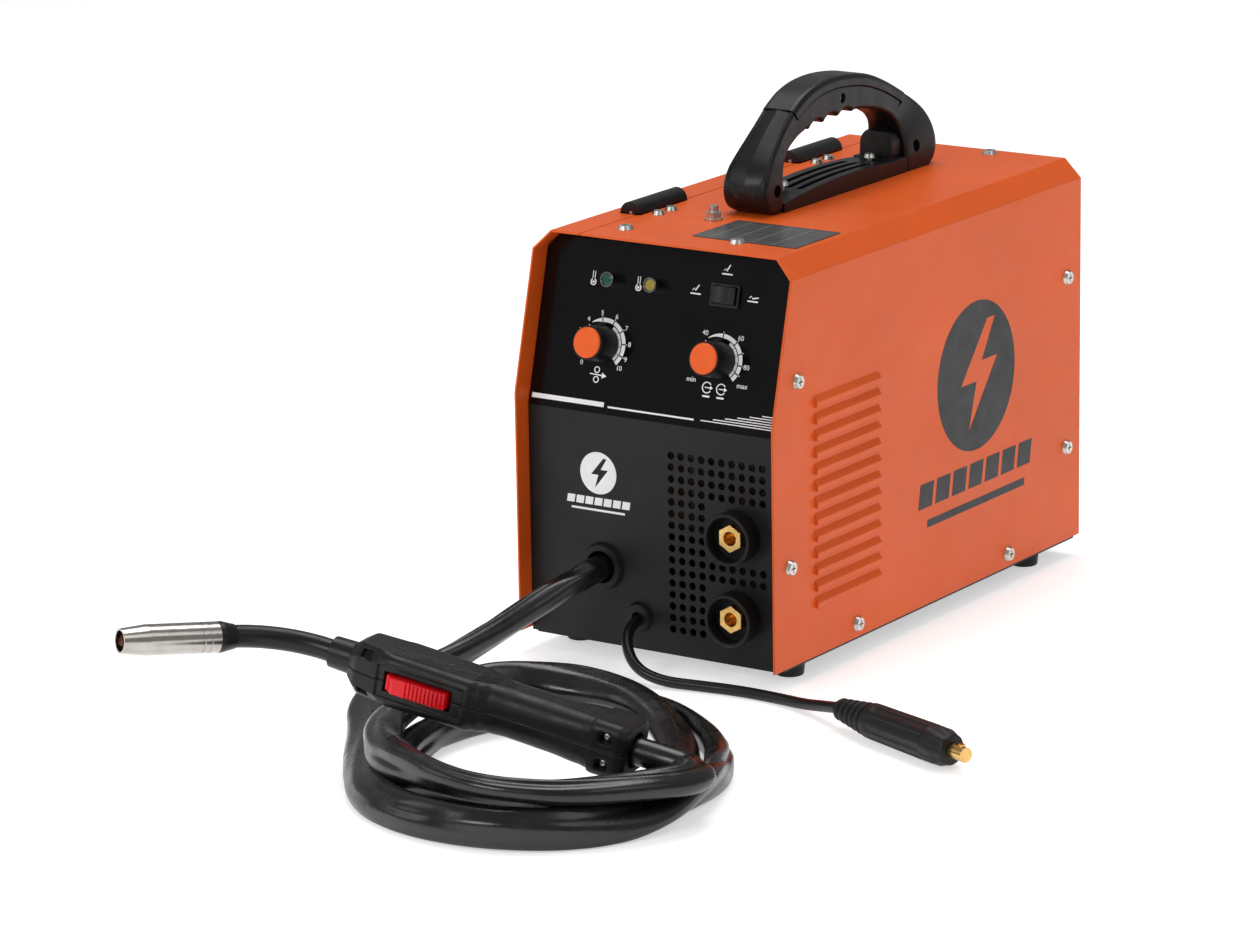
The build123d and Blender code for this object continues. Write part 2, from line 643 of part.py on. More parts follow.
def led(x):
    """Domed indicator lens inside its bezel."""
    with BuildSketch(lean_plane(x, LED_UP, LED_OUT - 4.8)) as lens:
        Circle(3.8)
    extrude(lens.sketch, amount=4.6)


with BuildPart() as led_green:
    led(LED_X[0])
    fillet(led_green.faces().sort_by(Axis.Y)[0].edges(), radius=1.2)
save(led_green, "led_green")

with BuildPart() as led_yellow:
    led(LED_X[1])
    fillet(led_yellow.faces().sort_by(Axis.Y)[0].edges(), radius=1.2)
save(led_yellow, "led_yellow")

ROCKER_PIVOT = 0.4
with BuildPart() as mode_switch:
    with BuildSketch(lean_plane(SWITCH_X, SWITCH_UP, 0.05)):
        RectangleRounded(SWITCH_W, SWITCH_H, 1.4)
    extrude(amount=2.0, taper=12)
    with BuildSketch(lean_plane(SWITCH_X, SWITCH_UP, 0.05)):
        Rectangle(19.0, 12.6)
    extrude(amount=-14.0)
    with BuildSketch(lean_plane(SWITCH_X, SWITCH_UP, 3.0)):
        Rectangle(17.6, 11.0)
    extrude(amount=-10.0, mode=Mode.SUBTRACT)
save(mode_switch, "mode_switch")



def rocker(centre, half_length, half_width, tilt=0.0):
    """Rocker with a hollowed face; its section lies across `centre`, whose normal points out of the panel."""
    section = Plane(origin=centre.origin, x_dir=centre.x_dir, z_dir=-centre.y_dir).rotated((0, 0, tilt))
    with BuildSketch(section) as profile:
        with BuildLine():
            Line((-half_length, 3.2), (-half_length, -2.4))
            Line((-half_length, -2.4), (half_length, -2.4))
            Line((half_length, -2.4), (half_length, 3.2))
            ThreePointArc((half_length, 3.2), (0, 1.6), (-half_length, 3.2))
        make_face()
    extrude(profile.sketch, amount=half_width, both=True)


with BuildPart() as mode_rocker:
    rocker(lean_plane(SWITCH_X, SWITCH_UP, ROCKER_PIVOT), 8.1, 5.2)
save(mode_rocker, "mode_rocker")

# Output sockets: an insulating cup round a hexagonal brass contact.
CUP_R = 16.5
CUP_OUT = 13.0
CONTACT_OUT = 8.5
CONTACT_BORE = 4.5
with BuildPart() as socket_bodies:
    for z in SOCKET_Z:
        with BuildSketch(front_plane(SOCKET_X, z, PANEL_Y - 0.05)):
            Circle(CUP_R)
        extrude(amount=CUP_OUT)
        with BuildSketch(front_plane(SOCKET_X, z, PANEL_Y - CUP_OUT - 0.05)):
            Circle(CUP_R - 2.2)
        extrude(amount=-10.5, mode=Mode.SUBTRACT)
        with BuildSketch(front_plane(SOCKET_X, z, PANEL_Y - 0.05)):
            Circle(12.0)
        extrude(amount=-8.0)
        with BuildSketch(front_plane(SOCKET_X, z, PANEL_Y - 4)):
            Circle(6.05)
        extrude(amount=-14.0, mode=Mode.SUBTRACT)
    chamfer(socket_bodies.faces().sort_by(Axis.Y)[0:2].edges(), length=0.7)
save(socket_bodies, "socket_bodies")

with BuildPart() as socket_contacts:
    for z in SOCKET_Z:
        with BuildSketch(front_plane(SOCKET_X, z, PANEL_Y - 2.6)):
            RegularPolygon(7.6, 6, major_radius=False, rotation=30)
        extrude(amount=CONTACT_OUT - 2.6)
        with BuildSketch(front_plane(SOCKET_X, z, PANEL_Y - 2.6)):
            Circle(6.0)
        extrude(amount=-20.0)
        with BuildSketch(front_plane(SOCKET_X, z, PANEL_Y - CONTACT_OUT)):
            Circle(CONTACT_BORE)
        extrude(amount=-16.0, mode=Mode.SUBTRACT)
save(socket_contacts, "socket_contacts")


def grommet(x, z, outer, hole, proud, through):
    """Flanged rubber grommet round a cable hole in the front panel."""
    with BuildSketch(front_plane(x, z, PANEL_Y - 0.05)) as flange:
        Circle(outer)
    extrude(flange.sketch, amount=proud, taper=18)
    with BuildSketch(front_plane(x, z, PANEL_Y - 0.05)) as neck:
        Circle(through)
    extrude(neck.sketch, amount=-PLATE - 2.5)
    with BuildSketch(front_plane(x, z, PANEL_Y - proud - 1)) as bore:
        Circle(hole)
    extrude(bore.sketch, amount=-proud - 8, mode=Mode.SUBTRACT)


with BuildPart() as hose_grommet:
    grommet(HOSE_X, HOSE_Z, 15.2, HOSE_D / 2 + 0.3, 4.0, 12.5)
save(hose_grommet, "hose_grommet")

with BuildPart() as cable_grommet:
    grommet(CABLE_X, CABLE_Z, 9.6, CABLE_D / 2 + 0.3, 3.5, 7.0)
save(cable_grommet, "cable_grommet")

# ---------------------------------------------------------------- rear fittings
GLAND_OUT = 23.0
GLAND_BORE = 4.6
REAR_FACE = REAR_PANEL_Y + 0.05


def rear_plane(x, z, y=REAR_FACE):
    """Plane on the rear panel, facing backward."""
    return Plane(origin=(x, y, z), x_dir=(-1, 0, 0), z_dir=(0, 1, 0))


with BuildPart() as mains_gland:
    with BuildSketch(rear_plane(GLAND_X, GLAND_Z)):
        RegularPolygon(13.0, 6, major_radius=False)
    extrude(amount=5.0)
    with BuildSketch(rear_plane(GLAND_X, GLAND_Z, REAR_FACE + 5)):
        Circle(12.0)
    extrude(amount=GLAND_OUT - 5, taper=10)
    with BuildSketch(rear_plane(GLAND_X, GLAND_Z)):
        Circle(10.0)
    extrude(amount=-12.0)
    with BuildSketch(rear_plane(GLAND_X, GLAND_Z, REAR_FACE - 12)):
        Circle(GLAND_BORE)
    extrude(amount=GLAND_OUT + 12, mode=Mode.SUBTRACT)
save(mains_gland, "mains_gland")

with BuildPart() as power_switch:
    with BuildSketch(rear_plane(POWER_X, POWER_Z)):
        RectangleRounded(31, 25, 1.5)
    extrude(amount=2.0, taper=12)
    with BuildSketch(rear_plane(POWER_X, POWER_Z)):
        Rectangle(27, 21)
    extrude(amount=-20.0)
    with BuildSketch(rear_plane(POWER_X, POWER_Z, REAR_FACE + 3)):
        Rectangle(24.8, 18.0)
    extrude(amount=-12.0, mode=Mode.SUBTRACT)
save(power_switch, "power_switch")

POWER_TILT = 8.0
with BuildPart() as power_rocker:
    rocker(rear_plane(POWER_X, POWER_Z, REAR_FACE + ROCKER_PIVOT), 11.4, 8.6, POWER_TILT)
save(power_rocker, "power_rocker")

FAN_REAR = REAR_PANEL_Y - PLATE - 0.3
FAN_DEPTH = 25.0
with BuildPart() as fan_frame:
    with BuildSketch(front_plane(FAN_X, FAN_Z, FAN_REAR)):
        RectangleRounded(FAN_SIZE, FAN_SIZE, 4)
        Circle(43.0, mode=Mode.SUBTRACT)
        with GridLocations(82, 82, 2, 2):
            Circle(2.2, mode=Mode.SUBTRACT)
    extrude(amount=FAN_DEPTH)
    with BuildSketch(front_plane(FAN_X, FAN_Z, FAN_REAR)):
        Circle(19.0)
        with PolarLocations(31, 4, start_angle=45):
            Rectangle(26, 4)
        Circle(2.06, mode=Mode.SUBTRACT)
    extrude(amount=3.5)
save(fan_frame, "fan_frame")

FAN_BLADES = 7
with BuildPart() as fan_rotor:
    with BuildSketch(front_plane(FAN_X, FAN_Z, FAN_REAR - 4.2)):
        Circle(18.0)
    extrude(amount=18.0)
    for index in range(FAN_BLADES):
        turn = 360 * index / FAN_BLADES
        root = front_plane(FAN_X, FAN_Z, FAN_REAR - 13.2)
        spoke = Plane(origin=root.origin, x_dir=(0, -1, 0), z_dir=(cos(radians(turn)), 0, sin(radians(turn))))
        with BuildSketch(spoke.offset(16)):
            Rectangle(19, 1.6, rotation=38)
        extrude(amount=25.0)
    with BuildSketch(front_plane(FAN_X, FAN_Z, FAN_REAR - 0.4)):
        Circle(2.0)
    extrude(amount=6.0)
save(fan_rotor, "fan_rotor")

# ---------------------------------------------------------------- power electronics
with BuildPart() as heat_sink:
    with BuildSketch(Plane.XZ.offset(-70)):
        with Locations((36, 168)):
            Rectangle(96, 6)
            with Locations(*[(-45 + 10 * i, -18) for i in range(10)]):
                Rectangle(2.2, 31)
    extrude(amount=150)
    with BuildSketch(Plane.XY.offset(TRAY_TOP + 0.1)):
        with Locations((36, -5)):
            with GridLocations(80, 130, 2, 2):
                Rectangle(3, 14)
    extrude(amount=153)
save(heat_sink, "heat_sink")

with BuildPart() as power_board:
    with BuildSketch(Plane.XY.offset(190)):
        with Locations((36, -10)):
            Rectangle(104, 200)
    extrude(amount=1.6)
    with BuildSketch(Plane.XY.offset(191.6)):
        with Locations((18, 40), (54, 40), (18, 0), (54, 0)):
            Circle(15.0)
    extrude(amount=40.0)
    with BuildSketch(Plane.XY.offset(171.2)):
        with Locations((36, -10)):
            with GridLocations(80, 40, 2, 3):
                Rectangle(6, 6)
    extrude(amount=19.0)
save(power_board, "power_board")

with BuildPart() as transformer:
    with BuildSketch(Plane.XY.offset(TRAY_TOP + 0.1)):
        with Locations((36, 20)):
            Rectangle(70, 54)
    extrude(amount=4.0)
    with BuildSketch(Plane.XZ.offset(-40)):
        with Locations((36, TRAY_TOP + 38)):
            Rectangle(66, 68)
            with Locations((-19, 0), (19, 0)):
                Rectangle(14, 44, mode=Mode.SUBTRACT)
    extrude(amount=40.0)
    with BuildSketch(Plane.XY.offset(TRAY_TOP + 18)):
        with Locations((36, 20)):
            Rectangle(44, 58)
    extrude(amount=40.0)
    fillet(transformer.edges().filter_by(Axis.Z).group_by(Axis.Y)[0], radius=4)
save(transformer, "transformer")

# ---------------------------------------------------------------- wire drive
IDLER_R = 11.0
NIP = 0.5
SHAFT_R = 5.0
PLATE_X = PART_X - 0.2
FEED_T = 7.8
ARM_Y, ARM_Z = -143.0, WIRE_Z + 12.0
KNOB_Y = -80.0

with BuildPart() as feed_motor:
    with BuildSketch(Plane.YZ.offset(PART_X + PLATE + 0.2)):
        with Locations((DRIVE_Y, WIRE_Z - DRIVE_R)):
            Circle(24.0)
            Circle(SHAFT_R + 0.06, mode=Mode.SUBTRACT)
    extrude(amount=32.0)
    with BuildSketch(Plane.YZ.offset(PART_X + PLATE + 32.2)):
        with Locations((DRIVE_Y, WIRE_Z - DRIVE_R)):
            Circle(20.0)
    extrude(amount=48.0)
save(feed_motor, "feed_motor")

with BuildPart() as feed_plate:
    with BuildSketch(Plane.YZ.offset(PLATE_X)):
        with BuildLine():
            Polyline(
                (-160, WIRE_Z - 36), (-160, WIRE_Z + 22), (-128, WIRE_Z + 22), (-128, WIRE_Z + 4),
                (-64, WIRE_Z + 4), (-64, WIRE_Z - 36), close=True,
            )
        make_face()
        with Locations((DRIVE_Y, WIRE_Z - DRIVE_R)):
            Circle(SHAFT_R + 0.06, mode=Mode.SUBTRACT)
    extrude(amount=-FEED_T)
    with BuildSketch(Plane.XY.offset(WIRE_Z - 12)):
        with Locations((-36, -152), (-36, -83)):
            Rectangle(18, 12)
    extrude(amount=14.0)
    with BuildSketch(Plane.XZ.offset(-PANEL_Y - 8)):
        with Locations((WIRE_X, WIRE_Z)):
            Circle(3.6)
    extrude(amount=-20.0)
    with BuildSketch(Plane.XZ.offset(88)):
        with Locations((WIRE_X, WIRE_Z)):
            Circle(2.4)
    extrude(amount=-28.0)
    with BuildSketch(Plane.XZ.offset(175)):
        with Locations((WIRE_X, WIRE_Z)):
            Circle(1.0)
    extrude(amount=-120.0, mode=Mode.SUBTRACT)
    with BuildSketch(Plane.YZ.offset(PLATE_X - FEED_T)):
        with Locations((ARM_Y, ARM_Z)):
            Circle(4.0)
    extrude(amount=-6.5)
save(feed_plate, "feed_plate")

with BuildPart() as drive_roll:
    with BuildSketch(Plane.YZ.offset(WIRE_X - 4)):
        with Locations((DRIVE_Y, WIRE_Z - DRIVE_R)):
            Circle(DRIVE_R)
    extrude(amount=8.0)
    with BuildSketch(Plane.YZ.offset(WIRE_X - 0.6)):
        with Locations((DRIVE_Y, WIRE_Z - DRIVE_R)):
            Circle(DRIVE_R + 1)
            Circle(DRIVE_R - 0.6, mode=Mode.SUBTRACT)
    extrude(amount=1.2, mode=Mode.SUBTRACT)
    with BuildSketch(Plane.YZ.offset(WIRE_X - 10)):
        with Locations((DRIVE_Y, WIRE_Z - DRIVE_R)):
            Circle(SHAFT_R)
    extrude(amount=45.0)
    with BuildSketch(Plane.YZ.offset(WIRE_X - 9)):
        with Locations((DRIVE_Y, WIRE_Z - DRIVE_R)):
            RegularPolygon(8.5, 6)
    extrude(amount=5.0)
save(drive_roll, "drive_roll")

IDLER_Z = WIRE_Z + NIP + IDLER_R
ARM_X = PLATE_X - FEED_T - 0.4
with BuildPart() as pressure_arm:
    with BuildSketch(Plane.YZ.offset(ARM_X)):
        with BuildLine():
            Polyline(
                (-150, WIRE_Z + 6), (-150, WIRE_Z + 18), (-120, WIRE_Z + 22), (-72, WIRE_Z + 22),
                (-72, WIRE_Z + 9), (-100, WIRE_Z + 6), close=True,
            )
        make_face()
        with Locations((ARM_Y, ARM_Z)):
            Circle(4.06, mode=Mode.SUBTRACT)
    extrude(amount=-4.4)
    with BuildSketch(Plane.YZ.offset(ARM_X - 4.4)):
        with Locations((DRIVE_Y, IDLER_Z)):
            Circle(3.0)
    extrude(amount=-9.5)
    with BuildSketch(Plane.XY.offset(WIRE_Z + 10)):
        with Locations((WIRE_X + 1, KNOB_Y)):
            Rectangle(18, 14)
    extrude(amount=12.0)
    with BuildSketch(Plane.XY.offset(WIRE_Z + 9)):
        with Locations((WIRE_X, KNOB_Y)):
            Circle(3.06)
    extrude(amount=15.0, mode=Mode.SUBTRACT)
save(pressure_arm, "pressure_arm")

with BuildPart() as idler_roll:
    with BuildSketch(Plane.YZ.offset(ARM_X - 4.8)):
        with Locations((DRIVE_Y, IDLER_Z)):
            Circle(IDLER_R)
            Circle(3.06, mode=Mode.SUBTRACT)
    extrude(amount=-8.0)
save(idler_roll, "idler_roll")

with BuildPart() as tension_knob:
    with BuildSketch(Plane.XY.offset(WIRE_Z + 5)):
        with Locations((WIRE_X, KNOB_Y)):
            Circle(3.0)
    extrude(amount=32.0)
    with BuildSketch(Plane.XY.offset(WIRE_Z + 24)):
        with Locations((WIRE_X, KNOB_Y)):
            Circle(8.5)
            with PolarLocations(9.0, 10):
                Circle(1.2, mode=Mode.SUBTRACT)
    extrude(amount=20.0)
save(tension_knob, "tension_knob")

SPOOL_Y, SPOOL_Z = 70.0, TRAY_TOP + 114.0
SPOOL_R = 100.0
HUB_R = 25.0
SPOOL_X0, SPOOL_X1 = -86.0, -33.0
with BuildPart() as spool_hub:
    with BuildSketch(Plane.YZ.offset(PLATE_X)):
        with Locations((SPOOL_Y, SPOOL_Z)):
            Circle(34.0)
    extrude(amount=-10.0)
    with BuildSketch(Plane.YZ.offset(PLATE_X - 10)):
        with Locations((SPOOL_Y, SPOOL_Z)):
            Circle(HUB_R)
            Circle(HUB_R - 4, mode=Mode.SUBTRACT)
            Rectangle(2 * HUB_R - 4, 5)
    extrude(amount=SPOOL_X0 - 0.4 - PLATE_X + 10)
    with BuildSketch(Plane.YZ.offset(SPOOL_X0 - 0.4)):
        with Locations((SPOOL_Y, SPOOL_Z)):
            Circle(30.0)
            with PolarLocations(31, 12):
                Circle(2.4, mode=Mode.SUBTRACT)
    extrude(amount=-4.5)
save(spool_hub, "spool_hub")

FLANGE_T = 3.0
WIND_R0, WIND_R1 = 46.0, 82.0
with BuildPart() as wire_spool:
    with BuildSketch(Plane.YZ.offset(SPOOL_X0)):
        with Locations((SPOOL_Y, SPOOL_Z)):
            Circle(SPOOL_R)
            with PolarLocations(73, 6):
                Circle(15.0, mode=Mode.SUBTRACT)
    extrude(amount=FLANGE_T)
    with BuildSketch(Plane.YZ.offset(SPOOL_X1)):
        with Locations((SPOOL_Y, SPOOL_Z)):
            Circle(SPOOL_R)
            with PolarLocations(73, 6):
                Circle(15.0, mode=Mode.SUBTRACT)
    extrude(amount=-FLANGE_T)
    with BuildSketch(Plane.YZ.offset(SPOOL_X0)):
        with Locations((SPOOL_Y, SPOOL_Z)):
            Circle(WIND_R0)
            Circle(WIND_R0 - 3, mode=Mode.SUBTRACT)
            Circle(HUB_R + 4)
            with PolarLocations(36, 6):
                Rectangle(20, 3)
    extrude(amount=SPOOL_X1 - SPOOL_X0)
    with BuildSketch(Plane.YZ.offset(SPOOL_X0 - 1)):
        with Locations((SPOOL_Y, SPOOL_Z)):
            Circle(HUB_R + 0.08)
    extrude(amount=60, mode=Mode.SUBTRACT)
save(wire_spool, "wire_spool")

with BuildPart() as welding_wire:
    with BuildSketch(Plane.YZ.offset(SPOOL_X0 + FLANGE_T + 0.2)):
        with Locations((SPOOL_Y, SPOOL_Z)):
            Circle(WIND_R1)
            Circle(WIND_R0 + 0.1, mode=Mode.SUBTRACT)
    extrude(amount=SPOOL_X1 - SPOOL_X0 - 2 * FLANGE_T - 0.4)
save(welding_wire, "welding_wire")

# ---------------------------------------------------------------- torch
TORCH_FRONT = Vector(-35.4, -438.4, 67.3)
FORWARD = Vector(-0.971, -0.1485, 0.188).normalized()
TRIGGER_SIDE = (Vector(0.15, -0.9887, 0) - FORWARD * FORWARD.dot(Vector(0.15, -0.9887, 0))).normalized()
TORCH_UP = FORWARD.cross(TRIGGER_SIDE)
TORCH_AXIS = Axis(tuple(TORCH_FRONT), tuple(TORCH_UP))
GRIP_LENGTH = 182.0
GRIP_HALF = 16.5
NECK_BEND = 53.0
NECK_BEND_R = 62.0
NECK_R = 6.8
NECK_LEAD = 20.0
NECK_TAIL = 8.0
NOZZLE_R, NOZZLE_TIP_R = 9.3, 7.4
NOZZLE_L = 62.0
TRIGGER_FRONT, TRIGGER_REAR = -25.0, -72.0
TAIL_R = 8.5


def torch_plane(along=0.0, aside=0.0, up=0.0):
    """Bend plane of the torch: local x forward, local y towards the trigger."""
    origin = TORCH_FRONT + FORWARD * along + TRIGGER_SIDE * aside + TORCH_UP * up
    return Plane(origin=origin, x_dir=FORWARD, z_dir=TORCH_UP)


def torch_station(along, aside=0.0, turn=0.0):
    """Plane across the torch at a point of its bend plane, its normal turned towards the trigger."""
    origin = TORCH_FRONT + FORWARD * along + TRIGGER_SIDE * aside
    normal = FORWARD * cos(radians(turn)) + TRIGGER_SIDE * sin(radians(turn))
    return Plane(origin=origin, x_dir=TORCH_UP, z_dir=normal)


BEND_X = NECK_LEAD + NECK_BEND_R * sin(radians(NECK_BEND))
BEND_Y = NECK_BEND_R * (1 - cos(radians(NECK_BEND)))
NOZZLE_X = BEND_X + NECK_TAIL * cos(radians(NECK_BEND))
NOZZLE_Y = BEND_Y + NECK_TAIL * sin(radians(NECK_BEND))


def nozzle_station(out):
    """Plane across the nozzle's axis, `out` from its rear."""
    x = NOZZLE_X + out * cos(radians(NECK_BEND))
    y = NOZZLE_Y + out * sin(radians(NECK_BEND))
    return torch_station(x, y, NECK_BEND)


with BuildPart() as torch_neck:
    with BuildLine(torch_plane()) as neck_line:
        Line((-30, 0), (NECK_LEAD, 0))
        CenterArc((NECK_LEAD, NECK_BEND_R), NECK_BEND_R, -90, NECK_BEND)
        Line((BEND_X, BEND_Y), (NOZZLE_X, NOZZLE_Y))
    with BuildSketch(torch_station(-30)):
        Circle(NECK_R)
    sweep()
    with BuildSketch(torch_station(0.5)):
        Circle(10.0)
    extrude(amount=15.0, taper=2)
    with BuildSketch(nozzle_station(-8)):
        Circle(7.4)
    extrude(amount=8.0, taper=-13)
    with BuildSketch(nozzle_station(0)):
        Circle(NOZZLE_R)
    extrude(amount=3.0)
    with BuildSketch(nozzle_station(3)):
        Circle(7.6)
    extrude(amount=9.0)
save(torch_neck, "torch_neck")

with BuildPart() as torch_nozzle:
    with BuildSketch(nozzle_station(3.1)):
        Circle(NOZZLE_R)
    extrude(amount=45.0)
    with BuildSketch(nozzle_station(48.1)):
        Circle(NOZZLE_R)
    extrude(amount=16.0, taper=degrees(atan2(NOZZLE_R - NOZZLE_TIP_R, 16.0)))
    with BuildSketch(nozzle_station(2)):
        Circle(7.7)
    extrude(amount=12.0, mode=Mode.SUBTRACT)
    with BuildSketch(nozzle_station(13)):
        Circle(6.3)
    extrude(amount=60.0, mode=Mode.SUBTRACT)
    for groove in (9.0, 13.5):
        with BuildSketch(nozzle_station(groove)):
            Circle(NOZZLE_R + 1)
            Circle(NOZZLE_R - 0.4, mode=Mode.SUBTRACT)
        extrude(amount=1.0, mode=Mode.SUBTRACT)
save(torch_nozzle, "torch_nozzle")

with BuildPart() as contact_tip:
    with BuildSketch(nozzle_station(12.1)):
        Circle(5.2)
    extrude(amount=20.0)
    with BuildSketch(nozzle_station(32.1)):
        Circle(3.0)
    extrude(amount=26.0)
    with BuildSketch(nozzle_station(59)):
        Circle(0.6)
    extrude(amount=-20.0, mode=Mode.SUBTRACT)
save(contact_tip, "contact_tip")


def grip_half(side):
    """One moulded half of the torch grip, above (1) or below (-1) the bend plane."""
    with BuildSketch(torch_plane()) as outline:
        with BuildLine():
            Polyline(
                (0, -12), (-6, -16.5), (-60, -17.5), (-170, -16.5), (-GRIP_LENGTH, -14), (-GRIP_LENGTH, 14),
                (-172, 17), (-96, 16), (-84, 19.5), (-22, 19.5), (-8, 17), (0, 12), close=True,
            )
        make_face()
    extrude(outline.sketch, amount=side * GRIP_HALF)


def grip_hollow(side):
    """Hollow a grip half for the neck, the switch and the hose."""
    with BuildSketch(torch_plane()) as cavity:
        with Locations((-86, 0)):
            Rectangle(146, 27)
        with Locations(((TRIGGER_FRONT + TRIGGER_REAR) / 2, 15)):
            Rectangle(TRIGGER_FRONT - TRIGGER_REAR + 0.8, 12)
    extrude(cavity.sketch, amount=side * 7.2, mode=Mode.SUBTRACT)
    with BuildSketch(torch_station(-40)) as neck_hole:
        Circle(NECK_R + 0.02)
    extrude(neck_hole.sketch, amount=60, mode=Mode.SUBTRACT)
    with BuildSketch(torch_station(-150)) as hose_hole:
        Circle(TAIL_R + 0.3)
    extrude(hose_hole.sketch, amount=-60, mode=Mode.SUBTRACT)


with BuildPart() as torch_shell_upper:
    grip_half(1)
    chamfer(torch_shell_upper.faces().sort_by(TORCH_AXIS)[-1].edges(), length=4.5)
    grip_hollow(1)
save(torch_shell_upper, "torch_shell_upper")

with BuildPart() as torch_shell_lower:
    grip_half(-1)
    chamfer(torch_shell_lower.faces().sort_by(TORCH_AXIS)[0].edges(), length=4.5)
    grip_hollow(-1)
save(torch_shell_lower, "torch_shell_lower")

TRIGGER_HALF = 6.6
with BuildPart() as torch_trigger:
    with BuildSketch(torch_plane(0, 0, -TRIGGER_HALF)):
        with BuildLine():
            Polyline(
                (TRIGGER_FRONT, 12), (TRIGGER_FRONT, 21.5), (TRIGGER_FRONT - 16, 24), (TRIGGER_REAR + 2, 22.8),
                (TRIGGER_REAR, 20), (TRIGGER_REAR, 12), close=True,
            )
        make_face()
    extrude(amount=2 * TRIGGER_HALF)
    with BuildSketch(torch_plane(0, 0, -TRIGGER_HALF)):
        with Locations(*[(TRIGGER_FRONT - 18 - 3 * i, 25.0 - 0.15 * i) for i in range(9)]):
            Rectangle(1.2, 3.6)
    extrude(amount=2 * TRIGGER_HALF, mode=Mode.SUBTRACT)
save(torch_trigger, "torch_trigger")

# ---------------------------------------------------------------- hose, coil, polarity lead
COIL_C = Vector(68, -402)
COIL_ANGLE = -59.0
COIL_OUT = (138.0, 118.0)
COIL_IN = (92.0, 72.0)
COIL_LOW, COIL_HIGH = 22.0, 41.0
LOW_SIDE = Vector(0.33, 0.944, 0)       # where only the first loops lie on the floor

with BuildPart() as torch_hose_coil:
    with BuildSketch(Plane.XY):
        with Locations(Location((COIL_C.X, COIL_C.Y, 0), (0, 0, COIL_ANGLE))):
            Ellipse(*COIL_OUT)
            Ellipse(*COIL_IN, mode=Mode.SUBTRACT)
    extrude(amount=COIL_HIGH)
    with BuildSketch(Plane(origin=(COIL_C.X, COIL_C.Y, 0), x_dir=LOW_SIDE, z_dir=LOW_SIDE.cross(Vector(0, 0, 1)))):
        with BuildLine():
            Polyline((15, COIL_HIGH), (75, COIL_LOW), (240, COIL_LOW), (240, 60), (15, 60), close=True)
        make_face()
    extrude(amount=200, both=True, mode=Mode.SUBTRACT)
save(torch_hose_coil, "torch_hose_coil")

HOSE_LEAD = [
    (HOSE_X, PANEL_Y + 7, HOSE_Z), (-39.5, -201, 59), (-50, -229, 48.5), (-66, -254, 34), (-81, -281, 20),
    (-90, -311, 11.8), (-90, -344, 10.3), (-78, -374, 10.2), (-57.5, -398, 10.2),
]
TAIL_START = TORCH_FRONT - FORWARD * (GRIP_LENGTH - 8)
HOSE_TAIL = [tuple(TAIL_START), tuple(TAIL_START - FORWARD * 44)]
CABLE_ROUTE = [
    (CABLE_X, PANEL_Y + 5, CABLE_Z), (-11, -191, 29), (-3.5, -206, 20), (9.5, -214, 10), (27, -213, 4.6),
    (50, -206.5, 3.6), (78, -202.5, 3.6), (106, -203.5, 3.6), (130, -210, 5.2), (147, -217.5, 9.0),
    (162, -225.0, 12.2),
]
PLUG_START = Vector(*CABLE_ROUTE[-1])
PLUG_AXIS = Vector(0.939, -0.344, 0).normalized()


def bend_radii(route):
    """Largest arc that fits at each corner of a route."""
    radii = []
    points = [Vector(*p) for p in route]
    for before, corner, after in zip(points, points[1:], points[2:]):
        run_in, run_out = corner - before, after - corner
        half_turn = radians(run_in.get_angle(run_out)) / 2
        radii.append(0.45 * min(run_in.length, run_out.length) / tan(half_turn))
    return radii


def tube(route, radius, name):
    """Sweep a round section along straight runs joined by tangent arcs."""
    with BuildLine() as line:
        if len(route) > 2:
            FilletPolyline(*route, radius=bend_radii(route))
        else:
            Line(*route)
    path = line.wires()[0]
    with BuildSketch(Plane(origin=route[0], z_dir=Vector(*route[1]) - Vector(*route[0]))) as section:
        Circle(radius)
    swept = sweep(section.sketch, path=path)
    ratio = swept.volume / (pi * radius ** 2 * path.length)
    print(name, "length", round(path.length, 1), "volume ratio", round(ratio, 4))
    print("  radii", [round(r, 1) for r in bend_radii(route)])


with BuildPart() as torch_hose_lead:
    tube(HOSE_LEAD, HOSE_D / 2, "torch_hose_lead")
save(torch_hose_lead, "torch_hose_lead")

with BuildPart() as torch_hose_tail:
    tube(HOSE_TAIL, TAIL_R, "torch_hose_tail")
save(torch_hose_tail, "torch_hose_tail")

with BuildPart() as polarity_cable:
    tube(CABLE_ROUTE, CABLE_D / 2, "polarity_cable")
save(polarity_cable, "polarity_cable")


def plug_station(along):
    """Plane across the plug, `along` from the cable's end."""
    return Plane(origin=PLUG_START + PLUG_AXIS * along, z_dir=PLUG_AXIS)


BOOT_L, PLUG_L, PIN_L = 31.0, 76.0, 12.0
PIN_STEM_R = 3.9
with BuildPart() as plug_body:
    with BuildSketch(plug_station(0)):
        Circle(6.5)
    extrude(amount=BOOT_L, taper=-7)
    with BuildSketch(plug_station(BOOT_L)):
        Circle(10.8)
    extrude(amount=PLUG_L - 14, taper=-1)
    with BuildSketch(plug_station(BOOT_L + PLUG_L - 14)):
        Circle(10.0)
    extrude(amount=14)
    with BuildSketch(plug_station(BOOT_L + PLUG_L)):
        Circle(PIN_STEM_R)
    extrude(amount=-24.0, mode=Mode.SUBTRACT)
save(plug_body, "plug_body")

with BuildPart() as plug_pin:
    with BuildSketch(plug_station(BOOT_L + PLUG_L - 24)):
        Circle(PIN_STEM_R - 0.05)
    extrude(amount=24.4)
    with BuildSketch(plug_station(BOOT_L + PLUG_L + 0.4)):
        Circle(CONTACT_BORE)
    extrude(amount=PIN_L)
    with BuildSketch(plug_station(BOOT_L + PLUG_L + PIN_L - 5)):
        with Locations((0, CONTACT_BORE)):
            Rectangle(3.2, 3.0)
    extrude(amount=3.2)
save(plug_pin, "plug_pin")
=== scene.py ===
"""Looks for the welding machine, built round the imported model. Metres, row frame."""

